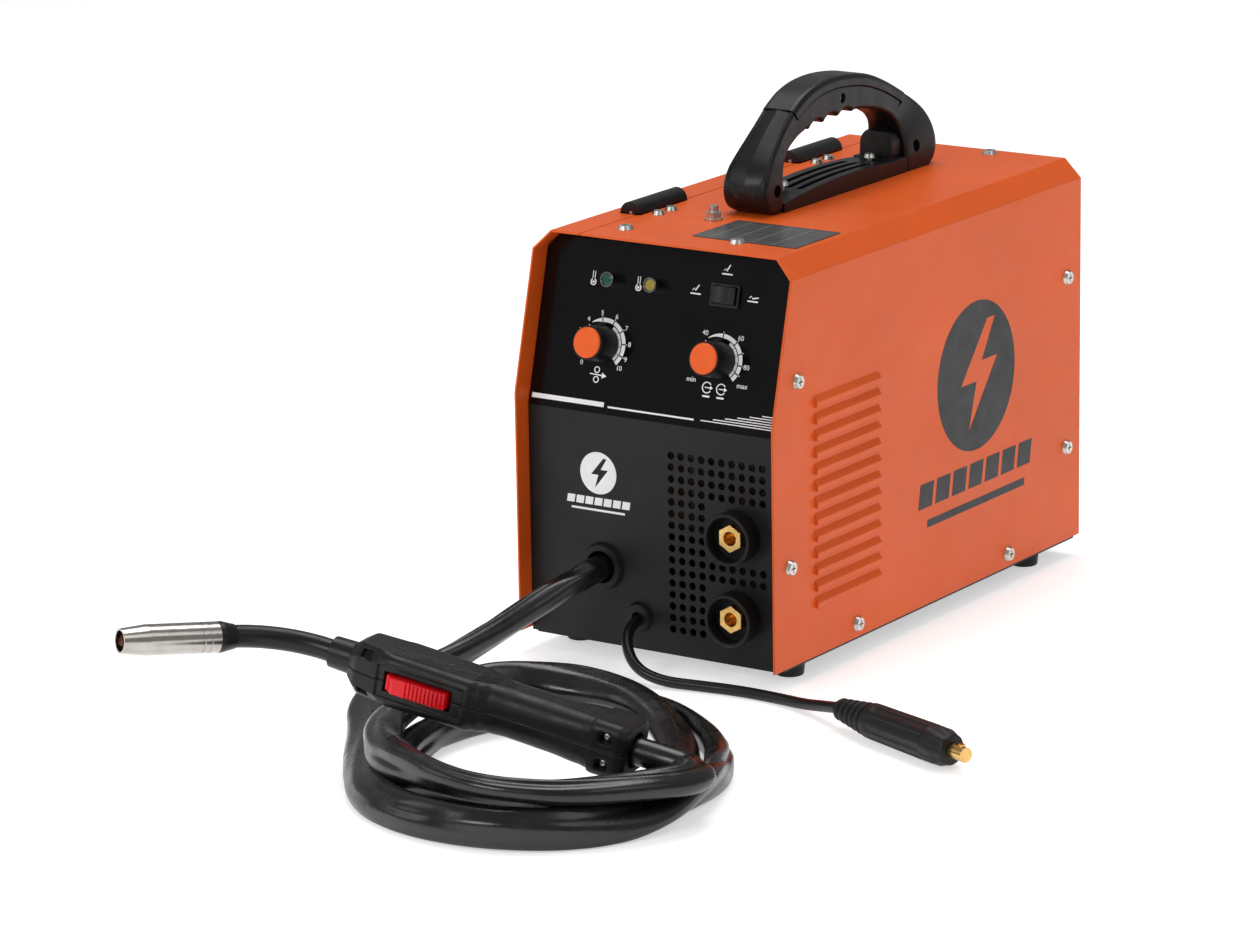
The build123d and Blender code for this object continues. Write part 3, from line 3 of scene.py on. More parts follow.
import json
import math

import bmesh
import bpy
from mathutils import Matrix, Vector


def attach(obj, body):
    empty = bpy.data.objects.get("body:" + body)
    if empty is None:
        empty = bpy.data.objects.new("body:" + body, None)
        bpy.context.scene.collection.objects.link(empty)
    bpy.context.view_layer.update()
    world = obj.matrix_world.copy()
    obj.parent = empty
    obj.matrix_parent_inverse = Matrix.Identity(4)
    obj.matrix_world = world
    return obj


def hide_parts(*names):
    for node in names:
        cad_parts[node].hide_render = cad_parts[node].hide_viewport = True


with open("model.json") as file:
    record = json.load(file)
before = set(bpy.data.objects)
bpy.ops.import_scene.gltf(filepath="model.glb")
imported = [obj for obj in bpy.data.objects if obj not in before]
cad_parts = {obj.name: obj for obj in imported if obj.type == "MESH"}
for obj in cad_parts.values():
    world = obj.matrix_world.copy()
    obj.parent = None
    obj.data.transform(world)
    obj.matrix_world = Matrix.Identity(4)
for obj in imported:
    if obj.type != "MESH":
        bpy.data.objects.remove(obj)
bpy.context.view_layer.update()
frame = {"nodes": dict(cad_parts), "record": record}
NODES = frame["nodes"]
MM = 0.001
LEAN = math.atan2(26.0, 100.0)
PANEL_Y = -0.1773
BEND_Z = 0.1576
HALF_W = 0.095
TOP_Z = 0.267

# ---------------------------------------------------------------- camera
camera_data = bpy.data.cameras.new("camera")
camera_data.sensor_width = 36.0
camera_data.lens = 151.5
camera_data.clip_end = 50.0
camera = bpy.data.objects.new("camera", camera_data)
bpy.context.scene.collection.objects.link(camera)
CAMERA_AT = (1.756, -2.806, 0.953)
AZ, EL, ROLL = math.radians(34.01), math.radians(14.66), math.radians(-0.92)
right = Vector((math.cos(AZ), math.sin(AZ), 0))
back = Vector((math.sin(AZ) * math.cos(EL), -math.cos(AZ) * math.cos(EL), math.sin(EL)))
up = back.cross(right)
cam_x = math.cos(ROLL) * right + math.sin(ROLL) * up
cam_y = -math.sin(ROLL) * right + math.cos(ROLL) * up
turn = Matrix((cam_x, cam_y, back)).transposed().to_4x4()
camera.matrix_world = Matrix.Translation(CAMERA_AT) @ turn
bpy.context.scene.camera = camera


# ---------------------------------------------------------------- helpers
def link(obj):
    bpy.context.scene.collection.objects.link(obj)
    return obj


def mesh_object(name, verts, faces, smooth=False):
    mesh = bpy.data.meshes.new(name)
    mesh.from_pydata([tuple(v) for v in verts], [], faces)
    mesh.validate()
    bm = bmesh.new()
    bm.from_mesh(mesh)
    bmesh.ops.recalc_face_normals(bm, faces=bm.faces)
    bm.to_mesh(mesh)
    bm.free()
    for polygon in mesh.polygons:
        polygon.use_smooth = smooth
    return link(bpy.data.objects.new(name, mesh))


def ring_solid(name, rings, sharp=None):
    """Closed mesh through equal rings of points in metres, capped at both ends; sharp is in degrees."""
    count = len(rings[0])
    faces = []
    for i in range(len(rings) - 1):
        for k in range(count):
            a, b = i * count + k, i * count + (k + 1) % count
            faces.append((a, b, b + count, a + count))
    faces.append(tuple(range(count)))
    faces.append(tuple(range((len(rings) - 1) * count, len(rings) * count))[::-1])
    made = mesh_object(name, [p for ring in rings for p in ring], faces, smooth=True)
    if sharp:
        made.data.set_sharp_from_angle(angle=math.radians(sharp))
    return made


def declare(piece, body, slot, *nodes):
    """Ride a piece on a body and let it stand for CAD nodes; slot is not used."""
    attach(piece, body)
    if nodes:
        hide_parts(*nodes)
    return piece


def spline_curve(name, points):
    """NURBS through a route's control points, in metres."""
    curve = bpy.data.curves.new(name, "CURVE")
    curve.dimensions = "3D"
    curve.resolution_u = 12
    spline = curve.splines.new("NURBS")
    spline.points.add(len(points) - 1)
    for knot, p in zip(spline.points, points):
        knot.co = (p[0] * MM, p[1] * MM, p[2] * MM, 1.0)
    spline.order_u = 3
    spline.use_endpoint_u = True
    return link(bpy.data.objects.new(name, curve))


def sampled(curve_object, step):
    """Evenly spaced points along a curve object's own line."""
    depsgraph = bpy.context.evaluated_depsgraph_get()
    mesh = bpy.data.meshes.new_from_object(curve_object.evaluated_get(depsgraph))
    raw = [v.co.copy() for v in mesh.vertices]
    bpy.data.meshes.remove(mesh)
    lengths = [0.0]
    for a, b in zip(raw, raw[1:]):
        lengths.append(lengths[-1] + (b - a).length)
    count = int(lengths[-1] / step)
    points, k = [], 0
    for i in range(count + 1):
        s = lengths[-1] * i / count
        while k < len(raw) - 2 and lengths[k + 1] < s:
            k += 1
        t = (s - lengths[k]) / max(lengths[k + 1] - lengths[k], 1e-9)
        points.append(raw[k].lerp(raw[k + 1], t))
    return points, lengths[-1]


def tube(name, route, step, sides, radius_at, settle=None):
    """Mesh tube along a route's NURBS line, with the points it follows and its length."""
    line = spline_curve(name + "_line", route)
    points, total = sampled(line, step)
    bpy.data.objects.remove(line)
    last = len(points) - 1
    rings = []
    for i, p in enumerate(points):
        ahead = (points[min(i + 1, last)] - points[max(i - 1, 0)]).normalized()
        side = ahead.cross(Vector((0, 0, 1))).normalized()
        over = side.cross(ahead)
        ring = []
        for k in range(sides):
            phi = 2 * math.pi * k / sides
            v = p + (side * math.cos(phi) + over * math.sin(phi)) * radius_at(total * i / last, total, phi)
            ring.append(settle(v) if settle else v)
        rings.append(ring)
    return ring_solid(name, rings), points, total


def ease(x, low, high):
    """0 below low, 1 above high, smooth between."""
    t = min(max((x - low) / (high - low), 0), 1)
    return t * t * (3 - 2 * t)


def pulse(x, low, high, soft=0.8):
    """1 between low and high, 0 outside, with soft ends."""
    return ease(x, low - soft, low + soft) * (1 - ease(x, high - soft, high + soft))


# ---------------------------------------------------------------- torch hose and polarity cable
HOSE_LEAD = [
    (-38.5, -170.3, 60.4), (-39.5, -201, 59), (-50, -229, 48.5), (-66, -254, 34), (-81, -281, 20),
    (-90, -311, 11.8), (-90, -344, 10.3), (-78, -374, 10.2), (-57.5, -398, 10.2),
]
TORCH_FRONT = Vector((-35.4, -438.4, 67.3))
FORWARD = Vector((-0.971, -0.1485, 0.188)).normalized()
SIDE_HINT = Vector((0.15, -0.9887, 0))
TRIGGER_SIDE = (SIDE_HINT - FORWARD * FORWARD.dot(SIDE_HINT)).normalized()
TORCH_UP = FORWARD.cross(TRIGGER_SIDE)
TAIL_START = TORCH_FRONT - FORWARD * 174
COIL_C = Vector((68, -402, 0))
COIL_A = Vector((math.cos(math.radians(-59)), math.sin(math.radians(-59)), 0))
COIL_B = Vector((-COIL_A.y, COIL_A.x, 0))


def coil_point(turn_deg, along, across, z):
    """Route point on a loose turn: an ellipse whose size wanders a little."""
    angle = math.radians(turn_deg)
    wobble = 1 + 0.018 * math.sin(2.3 * angle + 0.6) + 0.012 * math.sin(5.1 * angle)
    p = COIL_C + COIL_A * (along * wobble * math.cos(angle))
    p += COIL_B * (across * wobble * math.sin(angle))
    return (p.x, p.y, z)


COIL = []
for step in range(1, 34):
    turned = 246 + 25.5 * step
    inner = ease(turned, 470, 600)
    climb = ease(turned, 800, 880)
    out = ease(turned, 880, 960)
    along = 126 - 24 * inner + 12 * out
    across = 106 - 24 * inner + 11 * out
    COIL.append(coil_point(turned, along, across, 10.6 + 18.6 * climb))
HOSE_END = [
    (158, -478, 30), (177, -449, 29), (187, -424, 27.5), (177, -405.5, 26.5), (160, -407, 29.2),
    tuple(TAIL_START - FORWARD * 10), tuple(TAIL_START),
]
HOSE_ROUTE = HOSE_LEAD + COIL + HOSE_END
CABLE_ROUTE = [
    (-12, -172.3, 31.2), (-11, -191, 29), (-3.5, -206, 20), (9.5, -214, 10), (27, -213, 4.6),
    (50, -206.5, 3.6), (78, -202.5, 3.6), (106, -203.5, 3.6), (130, -210, 5.2), (147, -217.5, 9.0),
    (162, -225.0, 12.2),
]
SLEEVE_END = 0.047      # bare hose between the sleeve's mouth and the torch
SLEEVE_START = 0.020    # bare hose between the grommet and the sleeve
BARE_R = 8.3 * MM
LEAD_R = 3.5 * MM
FLOOR_TOUCH = 0.0016    # below this height the sleeve spreads on the floor
SLEEVE_WIDE, SLEEVE_FLAT = 13.1 * MM, 7.9 * MM
# each crease: half angle, drift along the hose, depth in mm, start angle
CREASES = ((0.30, 0.115, 2.0, 0.4), (0.20, -0.085, 1.7, 2.6), (0.33, 0.19, 1.4, 4.4))


def hose_radius(s, total, phi):
    """Wrinkled sleeve, flattened and twisting, with wandering creases; smooth bare hose at both ends."""
    lean = 0.5 + 1.9 * math.sin(s / 0.12 + 1.1) + 0.5 * math.sin(s / 0.047)
    r = 1 / math.sqrt((math.cos(phi - lean) / SLEEVE_WIDE) ** 2 + (math.sin(phi - lean) / SLEEVE_FLAT) ** 2)
    for spread, drift, depth, start in CREASES:
        middle = start + s / drift + 0.5 * math.sin(s / 0.05 + start)
        gap = (phi - middle + math.pi) % (2 * math.pi) - math.pi
        strength = 0.55 + 0.45 * math.sin(s / 0.043 + 2 * start)
        r -= depth * MM * strength * math.exp(-((gap / spread) ** 2))
        r += 0.45 * depth * MM * strength * math.exp(-(((gap - 2.2 * spread) / spread) ** 2))
    r += 0.25 * MM * math.sin(5 * phi + s / 0.021)
    ending = ease(s, total - SLEEVE_END - 0.004, total - SLEEVE_END)
    starting = 1 - ease(s, SLEEVE_START, SLEEVE_START + 0.005)
    mouth = math.exp(-(((s - (total - SLEEVE_END - 0.008)) / 0.007) ** 2))
    r += mouth * (0.9 * MM + 0.9 * MM * math.sin(4 * phi + 1))
    gather = math.exp(-(((s - SLEEVE_START - 0.010) / 0.008) ** 2))
    r += gather * (0.3 * MM + 0.6 * MM * math.sin(7 * phi + 0.7))
    bare = max(ending, starting)
    return r * (1 - bare) + BARE_R * bare


def on_floor(v):
    """Keep the sleeve's underside just above the floor."""
    if v.z < FLOOR_TOUCH:
        v.z = 0.0006 + 0.001 * math.exp((v.z - FLOOR_TOUCH) / 0.002)
    return v


hose, hose_path, hose_length = tube("torch_hose", HOSE_ROUTE, 3.0 * MM, 48, hose_radius, on_floor)
declare(hose, "welder", "hose", "torch_hose_lead", "torch_hose_coil", "torch_hose_tail")
cable, cable_path, cable_length = tube("polarity_lead", CABLE_ROUTE, 1.5 * MM, 28,
                                       lambda s, total, phi: LEAD_R)
declare(cable, "welder", "cable", "polarity_cable")
print("cord lengths along the route", round(hose_length, 3), round(cable_length, 3))


# ---------------------------------------------------------------- torch shells
BLOCK_END = 24          # the faceted front block, then smooth changes
SHELL_L = 182.0
SHELL_STEP = 0.7
SHELL_SEAM = 0.06       # half of the parting line's gap
MOUTH_R, MOUTH_DEPTH = 10.6, 6.0
RECESS_SPAN, RECESS_DEPTH = (22.5, 78.0), 1.5     # shallow frame round the trigger
POCKET_SPAN, POCKET_FLOOR = (27.2, 69.8), 9.5     # clears the trigger's foot at the end of its press
RIB_SPAN, RIB_PITCH, RIB_DEPTH = (26, 156), 3.1, 1.25
SCREW_SPAN, WINDOW_SPAN = (165, 172), (9.5, 16.5)
SHELL_STATIONS = [   # along, back edge, trigger edge, half thickness, corner, roundness
    (0, -11.5, 11.5, 11.0, 5.0, 0.0), (0.8, -12.5, 12.5, 12.0, 5.5, 0.0), (6, -16.2, 16.5, 15.6, 6.5, 0.0),
    (8, -16.5, 17.2, 16.2, 7.0, 0.0), (20, -16.7, 19.2, 16.5, 7.0, 0.0), (24, -16.8, 19.5, 16.3, 6.2, 0.5),
    (30, -16.9, 19.5, 16.0, 5.5, 1.0), (80, -16.6, 19.3, 15.6, 6.5, 1.0), (86, -16.2, 17.6, 15.2, 8.0, 1.0),
    (93, -15.6, 15.3, 14.9, 9.5, 1.0), (105, -15.2, 14.6, 14.8, 10.5, 1.0),
    (130, -15.3, 15.2, 15.0, 10.5, 1.0), (152, -15.8, 16.2, 15.4, 9.5, 1.0),
    (158, -16.2, 16.6, 15.6, 8.5, 1.0), (160, -17.2, 17.3, 16.4, 6.5, 1.0),
    (162, -17.5, 17.5, 16.5, 6.0, 1.0), (176, -17.5, 17.5, 16.5, 6.0, 1.0),
    (180, -16.4, 16.4, 15.4, 5.5, 1.0), (SHELL_L, -14.2, 14.2, 13.6, 5.0, 1.0),
]


def station(along):
    """Shell outline at a distance from its front, in the order of SHELL_STATIONS."""
    for low, high in zip(SHELL_STATIONS, SHELL_STATIONS[1:]):
        if along <= high[0]:
            t = (along - low[0]) / (high[0] - low[0])
            if low[0] >= BLOCK_END:
                t = ease(along, low[0], high[0])
            return [u + (v - u) * t for u, v in zip(low[1:], high[1:])]
    return list(SHELL_STATIONS[-1][1:])


def half_section(along):
    """(y, z) points of one shell half, from the parting line on the trigger side round to the other side."""
    back_y, front_y, half, corner, roundness = station(along)
    pts = [(front_y - 0.45, 0.0), (front_y - 0.05, 0.45)]
    flat = half - corner
    pts += [(front_y, 0.45 + (flat - 0.45) * k / 18) for k in range(1, 19)]
    for k in range(1, 12):
        angle = math.pi / 2 * k / 12
        arc = (front_y - corner + corner * math.cos(angle), flat + corner * math.sin(angle))
        cut = (front_y - corner * k / 12, flat + corner * k / 12)
        pts.append(tuple(c + (a - c) * roundness for a, c in zip(arc, cut)))
    left, right_y = back_y + corner, front_y - corner
    pts += [(right_y + (left - right_y) * k / 40, half) for k in range(41)]
    for k in range(1, 12):
        angle = math.pi / 2 * k / 12
        arc = (left - corner * math.sin(angle), flat + corner * math.cos(angle))
        cut = (left - corner * k / 12, flat + corner * (1 - k / 12))
        pts.append(tuple(c + (a - c) * roundness for a, c in zip(arc, cut)))
    pts += [(back_y, flat + (0.45 - flat) * k / 18) for k in range(18)]
    pts += [(back_y + 0.05, 0.45), (back_y + 0.45, 0.0)]
    shaped = []
    for y, z in pts:
        facing = ease(y, front_y - 4.5, front_y - 1.5)
        recess = pulse(along, *RECESS_SPAN, 0.6) * (1 - ease(z, 9.2, 10.2)) * facing
        pocket = pulse(along, *POCKET_SPAN, 0.5) * (1 - ease(z, 5.4, 6.1)) * facing
        y -= recess * RECESS_DEPTH + pocket * (front_y - RECESS_DEPTH - POCKET_FLOOR)
        if z > half - 3.0:
            middles = [front_y - corner - 1.2 - RIB_PITCH * n for n in range(4)]
            ribs = sum(pulse(y, c - 0.7, c + 0.7, 0.2) for c in middles)
            z -= RIB_DEPTH * ribs * pulse(along, *RIB_SPAN, 1.5)
        notch = pulse(along, *SCREW_SPAN, 0.7) * pulse(z, 5.2, 11.0, 0.7) * facing
        y -= 5.5 * notch
        window = pulse(along, *WINDOW_SPAN, 0.6) * pulse(z, 9.5, 13.5, 0.6)
        window *= ease(y, front_y - 7, front_y - 5)
        y -= 3.4 * window
        z -= 1.2 * window
        shaped.append((y, z))
    return shaped


def torch_point(along, y, z):
    """Metres, from a distance behind the torch's front and a place across it in mm."""
    return (TORCH_FRONT - FORWARD * along + TRIGGER_SIDE * y + TORCH_UP * z) * MM


def build_shell(name, side, node):
    """One half of the torch's handle, with the hose's mouth sunk in its rear."""
    steps = int((SHELL_L - 0.8) / SHELL_STEP)
    stations = [0.0] + [round(0.8 + SHELL_STEP * k, 3) for k in range(steps)] + [SHELL_L]
    rings = [[(v, y, z) for y, z in half_section(v)] for v in stations]
    mouth = []
    for y, z in half_section(SHELL_L):
        angle = math.atan2(z, y)
        mouth.append((math.cos(angle) * MOUTH_R, math.sin(angle) * MOUTH_R))
    rings.append([(SHELL_L, y, z) for y, z in mouth])
    rings.append([(SHELL_L - MOUTH_DEPTH, y * 0.97, z * 0.97) for y, z in mouth])
    placed = [[torch_point(v, y, (z + SHELL_SEAM) * side) for v, y, z in ring] for ring in rings]
    return declare(ring_solid(name, placed, sharp=35), "welder", "grip", node)


shell_upper = build_shell("shell_upper_form", 1, "torch_shell_upper")
shell_lower = build_shell("shell_lower_form", -1, "torch_shell_lower")

TRIGGER_FROM, TRIGGER_TO, TRIGGER_HALF, TRIGGER_FOOT = 28.4, 68.6, 4.9, 13.0
RIB_FROM, RIB_STEP = 42.0, 2.55


def trigger_height(along):
    """Outer face of the trigger: a slope, a smooth pad, then ribs that step down to the rear."""
    height = 18.6 + 4.3 * ease(along, TRIGGER_FROM, TRIGGER_FROM + 7) - 1.0 * ease(along, 60, TRIGGER_TO)
    if along > RIB_FROM:
        height -= 1.0 * ease((along - RIB_FROM) % RIB_STEP / RIB_STEP, 0.42, 0.62)
    return height


def build_trigger():
    """Trigger lofted along the torch, with small rounded edges."""
    steps, rounding = 200, 0.9
    rings = []
    for i in range(steps + 1):
        along = TRIGGER_FROM + (TRIGGER_TO - TRIGGER_FROM) * i / steps
        shrink = 0.7 * (1 - min(min(i, steps - i) / 3, 1)) ** 2
        top, half = trigger_height(along) - shrink - rounding, TRIGGER_HALF - shrink
        ring = [(TRIGGER_FOOT, -half), (TRIGGER_FOOT, half), (top, half)]
        quarter = [math.pi / 2 * k / 5 for k in range(6)]
        arc = [(rounding * math.sin(a), rounding * math.cos(a)) for a in quarter]
        ring += [(top + high, half - rounding + wide) for high, wide in arc[1:]]
        ring += [(top + wide, -half + rounding - high) for high, wide in arc[:5]]
        ring.append((top, -half))
        rings.append([torch_point(along, y, z) for y, z in ring])
    return declare(ring_solid("trigger_form", rings, sharp=35), "torch_trigger", "red", "torch_trigger")


trigger = build_trigger()


def lathe(name, profile, centre, axis, sides=32, slot="zinc", shape=None):
    """Closed solid of revolution: profile is (radius, height) in mm; shape may vary the radius round it."""
    axis = axis.normalized()
    across = axis.orthogonal().normalized()
    other = axis.cross(across)
    rings = []
    for radius, height in profile:
        ring = []
        for k in range(sides):
            phi = 2 * math.pi * k / sides
            reach = shape(radius, height, phi) if shape else radius
            outward = across * math.cos(phi) + other * math.sin(phi)
            ring.append((centre + axis * height + outward * reach) * MM)
        rings.append(ring)
    return declare(ring_solid(name, rings, sharp=40), "welder", slot)


SCREW_HEAD = [(0.3, -2.5), (1.3, -2.5), (1.3, 0), (2.7, 0), (2.8, 0.5), (2.4, 1.5), (1.5, 2.0), (0.9, 2.05),
              (0.8, 0.9), (0.2, 0.9)]
shell_screws = []
for label, height in (("upper", 8.1), ("lower", -8.1)):
    spot = torch_point(168.5, 12.0, height) / MM
    shell_screws.append(lathe("shell_screw_" + label, SCREW_HEAD, spot, TRIGGER_SIDE))


# ---------------------------------------------------------------- plug
def plug_profile():
    """Plug's outline as (radius, height): a boot of five rings, the body, then the flange."""
    pts = [(3.7, 0.0), (4.6, 0.2), (5.4, 1.2)]
    for n in range(5):
        start, ring = 2.0 + 5.7 * n, 7.0 + 0.75 * n
        for k in range(9):
            pts.append((ring - 1.9 + 1.9 * math.sin(math.pi * k / 8) ** 0.6, start + 4.6 * k / 8))
    pts += [(8.8, 31.0), (10.2, 31.6), (10.8, 32.6), (10.9, 34.0)]
    pts += [(10.9 + 0.6 * k / 40, 34.0 + 54.0 * k / 40) for k in range(1, 41)]
    pts += [(11.5, 89.0), (11.8, 90.0), (11.8, 97.5), (11.5, 99.0), (9.9, 104.0), (9.4, 106.2), (8.6, 107.0)]
    return pts


def plug_facets(radius, height, phi):
    """Ten shallow flutes along the body, and eight hollows round the flange."""
    flute = math.cos(5 * phi) ** 2
    body = pulse(height, 39.0, 88.0, 1.2) * ease(flute, 0.35, 0.6) * 0.85
    flange = pulse(height, 89.5, 106.0, 0.6) * (1 - abs(math.cos(4 * phi))) * 0.9
    return radius - body - flange


PLUG_START = Vector((162, -225, 12.2))
PLUG_AXIS = Vector((0.939, -0.344, 0)).normalized()
plug = lathe("plug_form", plug_profile(), PLUG_START, PLUG_AXIS, 96, "rubber", plug_facets)
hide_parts("plug_body")


# ---------------------------------------------------------------- carrying handle
FOOT_Z = TOP_Z / MM + 0.1
FOOT_HALF, GRIP_HALF, CAP_HALF = 16.5, 11.7, 12.3
HANDLE_HOLES = [(9.7, 20, -58, 282, 4.0), (9.7, 20, 112, 282, 4.0), (7.7, 20, 28, 327, 3.2)]
# (y, z) key points of the outer and inner sides, in step with each other
LEG_OUT = [(-60, FOOT_Z), (-67.5, 271.5), (-71.4, 279), (-71.2, 287.5), (-66.5, 297), (-57.5, 306.5),
           (-45, 317.3), (-31, 328.2)]
LEG_IN = [(-50.4, FOOT_Z), (-50.4, 271), (-50.4, 277), (-50.2, 284), (-48.2, 291), (-44, 298), (-37, 304.5),
          (-27.5, 309.5)]
SPAN_OUT = [(-26.4, 321.6), (-13, 328.6), (3, 333.1), (26, 334.2), (54, 330.6), (78, 323.1), (101, 312.1)]
SPAN_IN = [(-24.5, 310.8), (-12, 314.2), (6, 316), (24, 316.8), (48, 316.4), (72, 312.0), (88, 305.5)]
REAR_OUT = [(105, 318.4), (116, 312.5), (127, 304.5), (135, 294), (138.4, 282), (136, 272.5), (130, FOOT_Z)]
REAR_IN = [(89.5, 304.5), (95.2, 299), (98.5, 292.5), (99.6, 286), (99.6, 279), (99.6, 272), (99.6, FOOT_Z)]
CAP_OUT = [(-31, 328.5), (-16, 336.4), (2, 340.9), (26, 341.9), (56, 338.4), (80, 330.5), (105, 318.7)]
CAP_IN = [(-26.2, 321.8), (-13, 328.9), (3, 333.4), (26, 334.5), (54, 330.9), (78, 323.4), (101, 312.4)]


def through(points, t):
    """Catmull-Rom point at t, counted in key points."""
    k = min(int(t), len(points) - 2)
    f = t - k
    p0, p1 = points[max(k - 1, 0)], points[k]
    p2, p3 = points[k + 1], points[min(k + 2, len(points) - 1)]
    point = []
    for a, b, c, d in zip(p0, p1, p2, p3):
        square, cube = 2 * a - 5 * b + 4 * c - d, 3 * b - a - 3 * c + d
        point.append(0.5 * (2 * b + (c - a) * f + square * f * f + cube * f ** 3))
    return tuple(point)


def handle_ring(outer, inner, half, round_out, round_in, leaf=0.0, leaf_half=0.0):
    """Closed ring of points across the handle between an inner and an outer (y, z) point."""
    thick = math.dist(outer, inner)
    round_out, round_in = min(round_out, thick * 0.45), min(round_in, thick * 0.45)
    flat = []
    for k in range(17):
        flat.append((-half + round_in + (2 * half - 2 * round_in) * k / 16, 0.0))
    for k in range(1, 7):
        a = math.pi / 2 * k / 7
        flat.append((half - round_in + round_in * math.sin(a), round_in - round_in * math.cos(a)))
    for k in range(9):
        flat.append((half, round_in + (thick - round_in - round_out) * k / 8))
    for k in range(1, 9):
        a = math.pi / 2 * k / 9
        flat.append((half - round_out + round_out * math.cos(a), thick - round_out + round_out * math.sin(a)))
    for k in range(49):
        x = half - round_out - (2 * half - 2 * round_out) * k / 48
        flat.append((x, thick))
    for k in range(1, 9):
        a = math.pi / 2 * k / 9
        drop = round_out * (1 - math.cos(a))
        flat.append((-half + round_out - round_out * math.sin(a), thick - drop))
    for k in range(9):
        flat.append((-half, thick - round_out - (thick - round_in - round_out) * k / 8))
    for k in range(1, 7):
        a = math.pi / 2 * k / 7
        flat.append((-half + round_in - round_in * math.cos(a), round_in - round_in * math.sin(a)))
    ring = []
    for x, v in flat:
        if leaf and v > thick * 0.6 and leaf_half > 0:
            u = abs(x) / leaf_half
            v -= leaf * min(u, 1.0) * (1 - ease(u, 0.93, 1.03))
        t = v / thick
        ring.append((x, inner[0] + (outer[0] - inner[0]) * t, inner[1] + (outer[1] - inner[1]) * t))
    return ring


def cut_holes(piece, holes):
    """Blind round holes (x from, x to, y, z, radius) bored along X."""
    bm = bmesh.new()
    for x0, x1, y, z, radius in holes:
        made = bmesh.ops.create_cone(bm, cap_ends=True, segments=32, radius1=radius * MM, radius2=radius * MM,
                                     depth=(x1 - x0) * MM)
        turn_x = Matrix.Translation(Vector(((x0 + x1) / 2, y, z)) * MM) @ Matrix.Rotation(math.pi / 2, 4, "Y")
        bmesh.ops.transform(bm, matrix=turn_x, verts=made["verts"])
    mesh = bpy.data.meshes.new("hole_cutter")
    bm.to_mesh(mesh)
    bm.free()
    cutter = link(bpy.data.objects.new("hole_cutter", mesh))
    boolean = piece.modifiers.new("holes", "BOOLEAN")
    boolean.operation, boolean.solver, boolean.object = "DIFFERENCE", "EXACT", cutter
    depsgraph = bpy.context.evaluated_depsgraph_get()
    cut = bpy.data.meshes.new_from_object(piece.evaluated_get(depsgraph))
    piece.modifiers.clear()
    piece.data = cut
    bpy.data.objects.remove(cutter)


def build_handle():
    """Arch in one loft, from the front leg over the grip to the rear leg, and its top cover."""
    rings = []
    for i in range(71):
        t = 7 * i / 70
        along = i / 70
        half = FOOT_HALF - 2.2 * math.exp(-((along / 0.10) ** 2)) - 4.7 * ease(along, 0.38, 1.0)
        tip = ease(along, 0.17, 0.58)
        rings.append(handle_ring(through(LEG_OUT, t), through(LEG_IN, t), half, 3.4, 2.6,
                                 leaf=2.1 * ease(along, 0.20, 0.42) * (1 - 0.45 * ease(along, 0.80, 1.0)),
                                 leaf_half=0.4 + (half - 2.3) * tip ** 0.55))
    for i in range(181):
        t = 6 * i / 180
        outer, inner = through(SPAN_OUT, t), through(SPAN_IN, t)
        fingers = pulse(inner[0], -14, 43, 3.0) * (abs(math.sin(math.pi * (inner[0] - 6) / 17.6)) ** 0.8)
        inner = (inner[0], inner[1] - 1.2 * pulse(inner[0], -14, 43, 3.0) + 3.4 * fingers)
        rings.append(handle_ring(outer, inner, GRIP_HALF, 0.5, 2.8))
    for i in range(61):
        t = 6 * i / 60
        half = GRIP_HALF + (FOOT_HALF - GRIP_HALF) * ease(i / 60, 0.05, 0.75)
        rings.append(handle_ring(through(REAR_OUT, t), through(REAR_IN, t), half, 3.4, 2.4))
    arch = ring_solid("handle_form", [[Vector(p) * MM for p in ring] for ring in rings])
    cut_holes(arch, HANDLE_HOLES)
    cap_rings = []
    for i in range(121):
        t = 6 * i / 120
        cap_rings.append(handle_ring(through(CAP_OUT, t), through(CAP_IN, t), CAP_HALF, 3.6, 0.4))
    cap = ring_solid("handle_top_form", [[Vector(p) * MM for p in ring] for ring in cap_rings])
    for made, node in ((arch, "handle_arch"), (cap, "handle_cover")):
        made.data.set_sharp_from_angle(angle=math.radians(38))
        declare(made, "welder", "black_plastic", node)
    return arch, cap


handle_form, handle_top_form = build_handle()


# ---------------------------------------------------------------- printed marks
def arc_band(cx, cy, outer, inner, start, end, taper=0.0, steps=40):
    """Closed outline of a ring sector; taper thins it towards its start."""
    out, back_side = [], []
    for k in range(steps + 1):
        t = k / steps
        angle = math.radians(start + (end - start) * t)
        thin = inner + (outer - inner) * max(0.0, 1 - t / taper) * 0.85 if taper else inner
        out.append((cx + outer * math.cos(angle), cy + outer * math.sin(angle)))
        back_side.append((cx + thin * math.cos(angle), cy + thin * math.sin(angle)))
    return out + back_side[::-1]


def bar(x0, y0, x1, y1, width):
    """Outline of a straight bar."""
    dx, dy = x1 - x0, y1 - y0
    length = math.hypot(dx, dy)
    nx, ny = -dy / length * width / 2, dx / length * width / 2
    return [(x0 + nx, y0 + ny), (x0 - nx, y0 - ny), (x1 - nx, y1 - ny), (x1 + nx, y1 + ny)]


def circle(cx, cy, radius, steps=28):
    """Outline of a circle."""
    turns = [2 * math.pi * k / steps for k in range(steps)]
    return [(cx + radius * math.cos(a), cy + radius * math.sin(a)) for a in turns]


def tick(cx, cy, degrees, inner, outer, width):
    """Outline of a short mark that points at a centre."""
    a = math.radians(degrees)
    return bar(cx + inner * math.cos(a), cy + inner * math.sin(a), cx + outer * math.cos(a),
               cy + outer * math.sin(a), width)


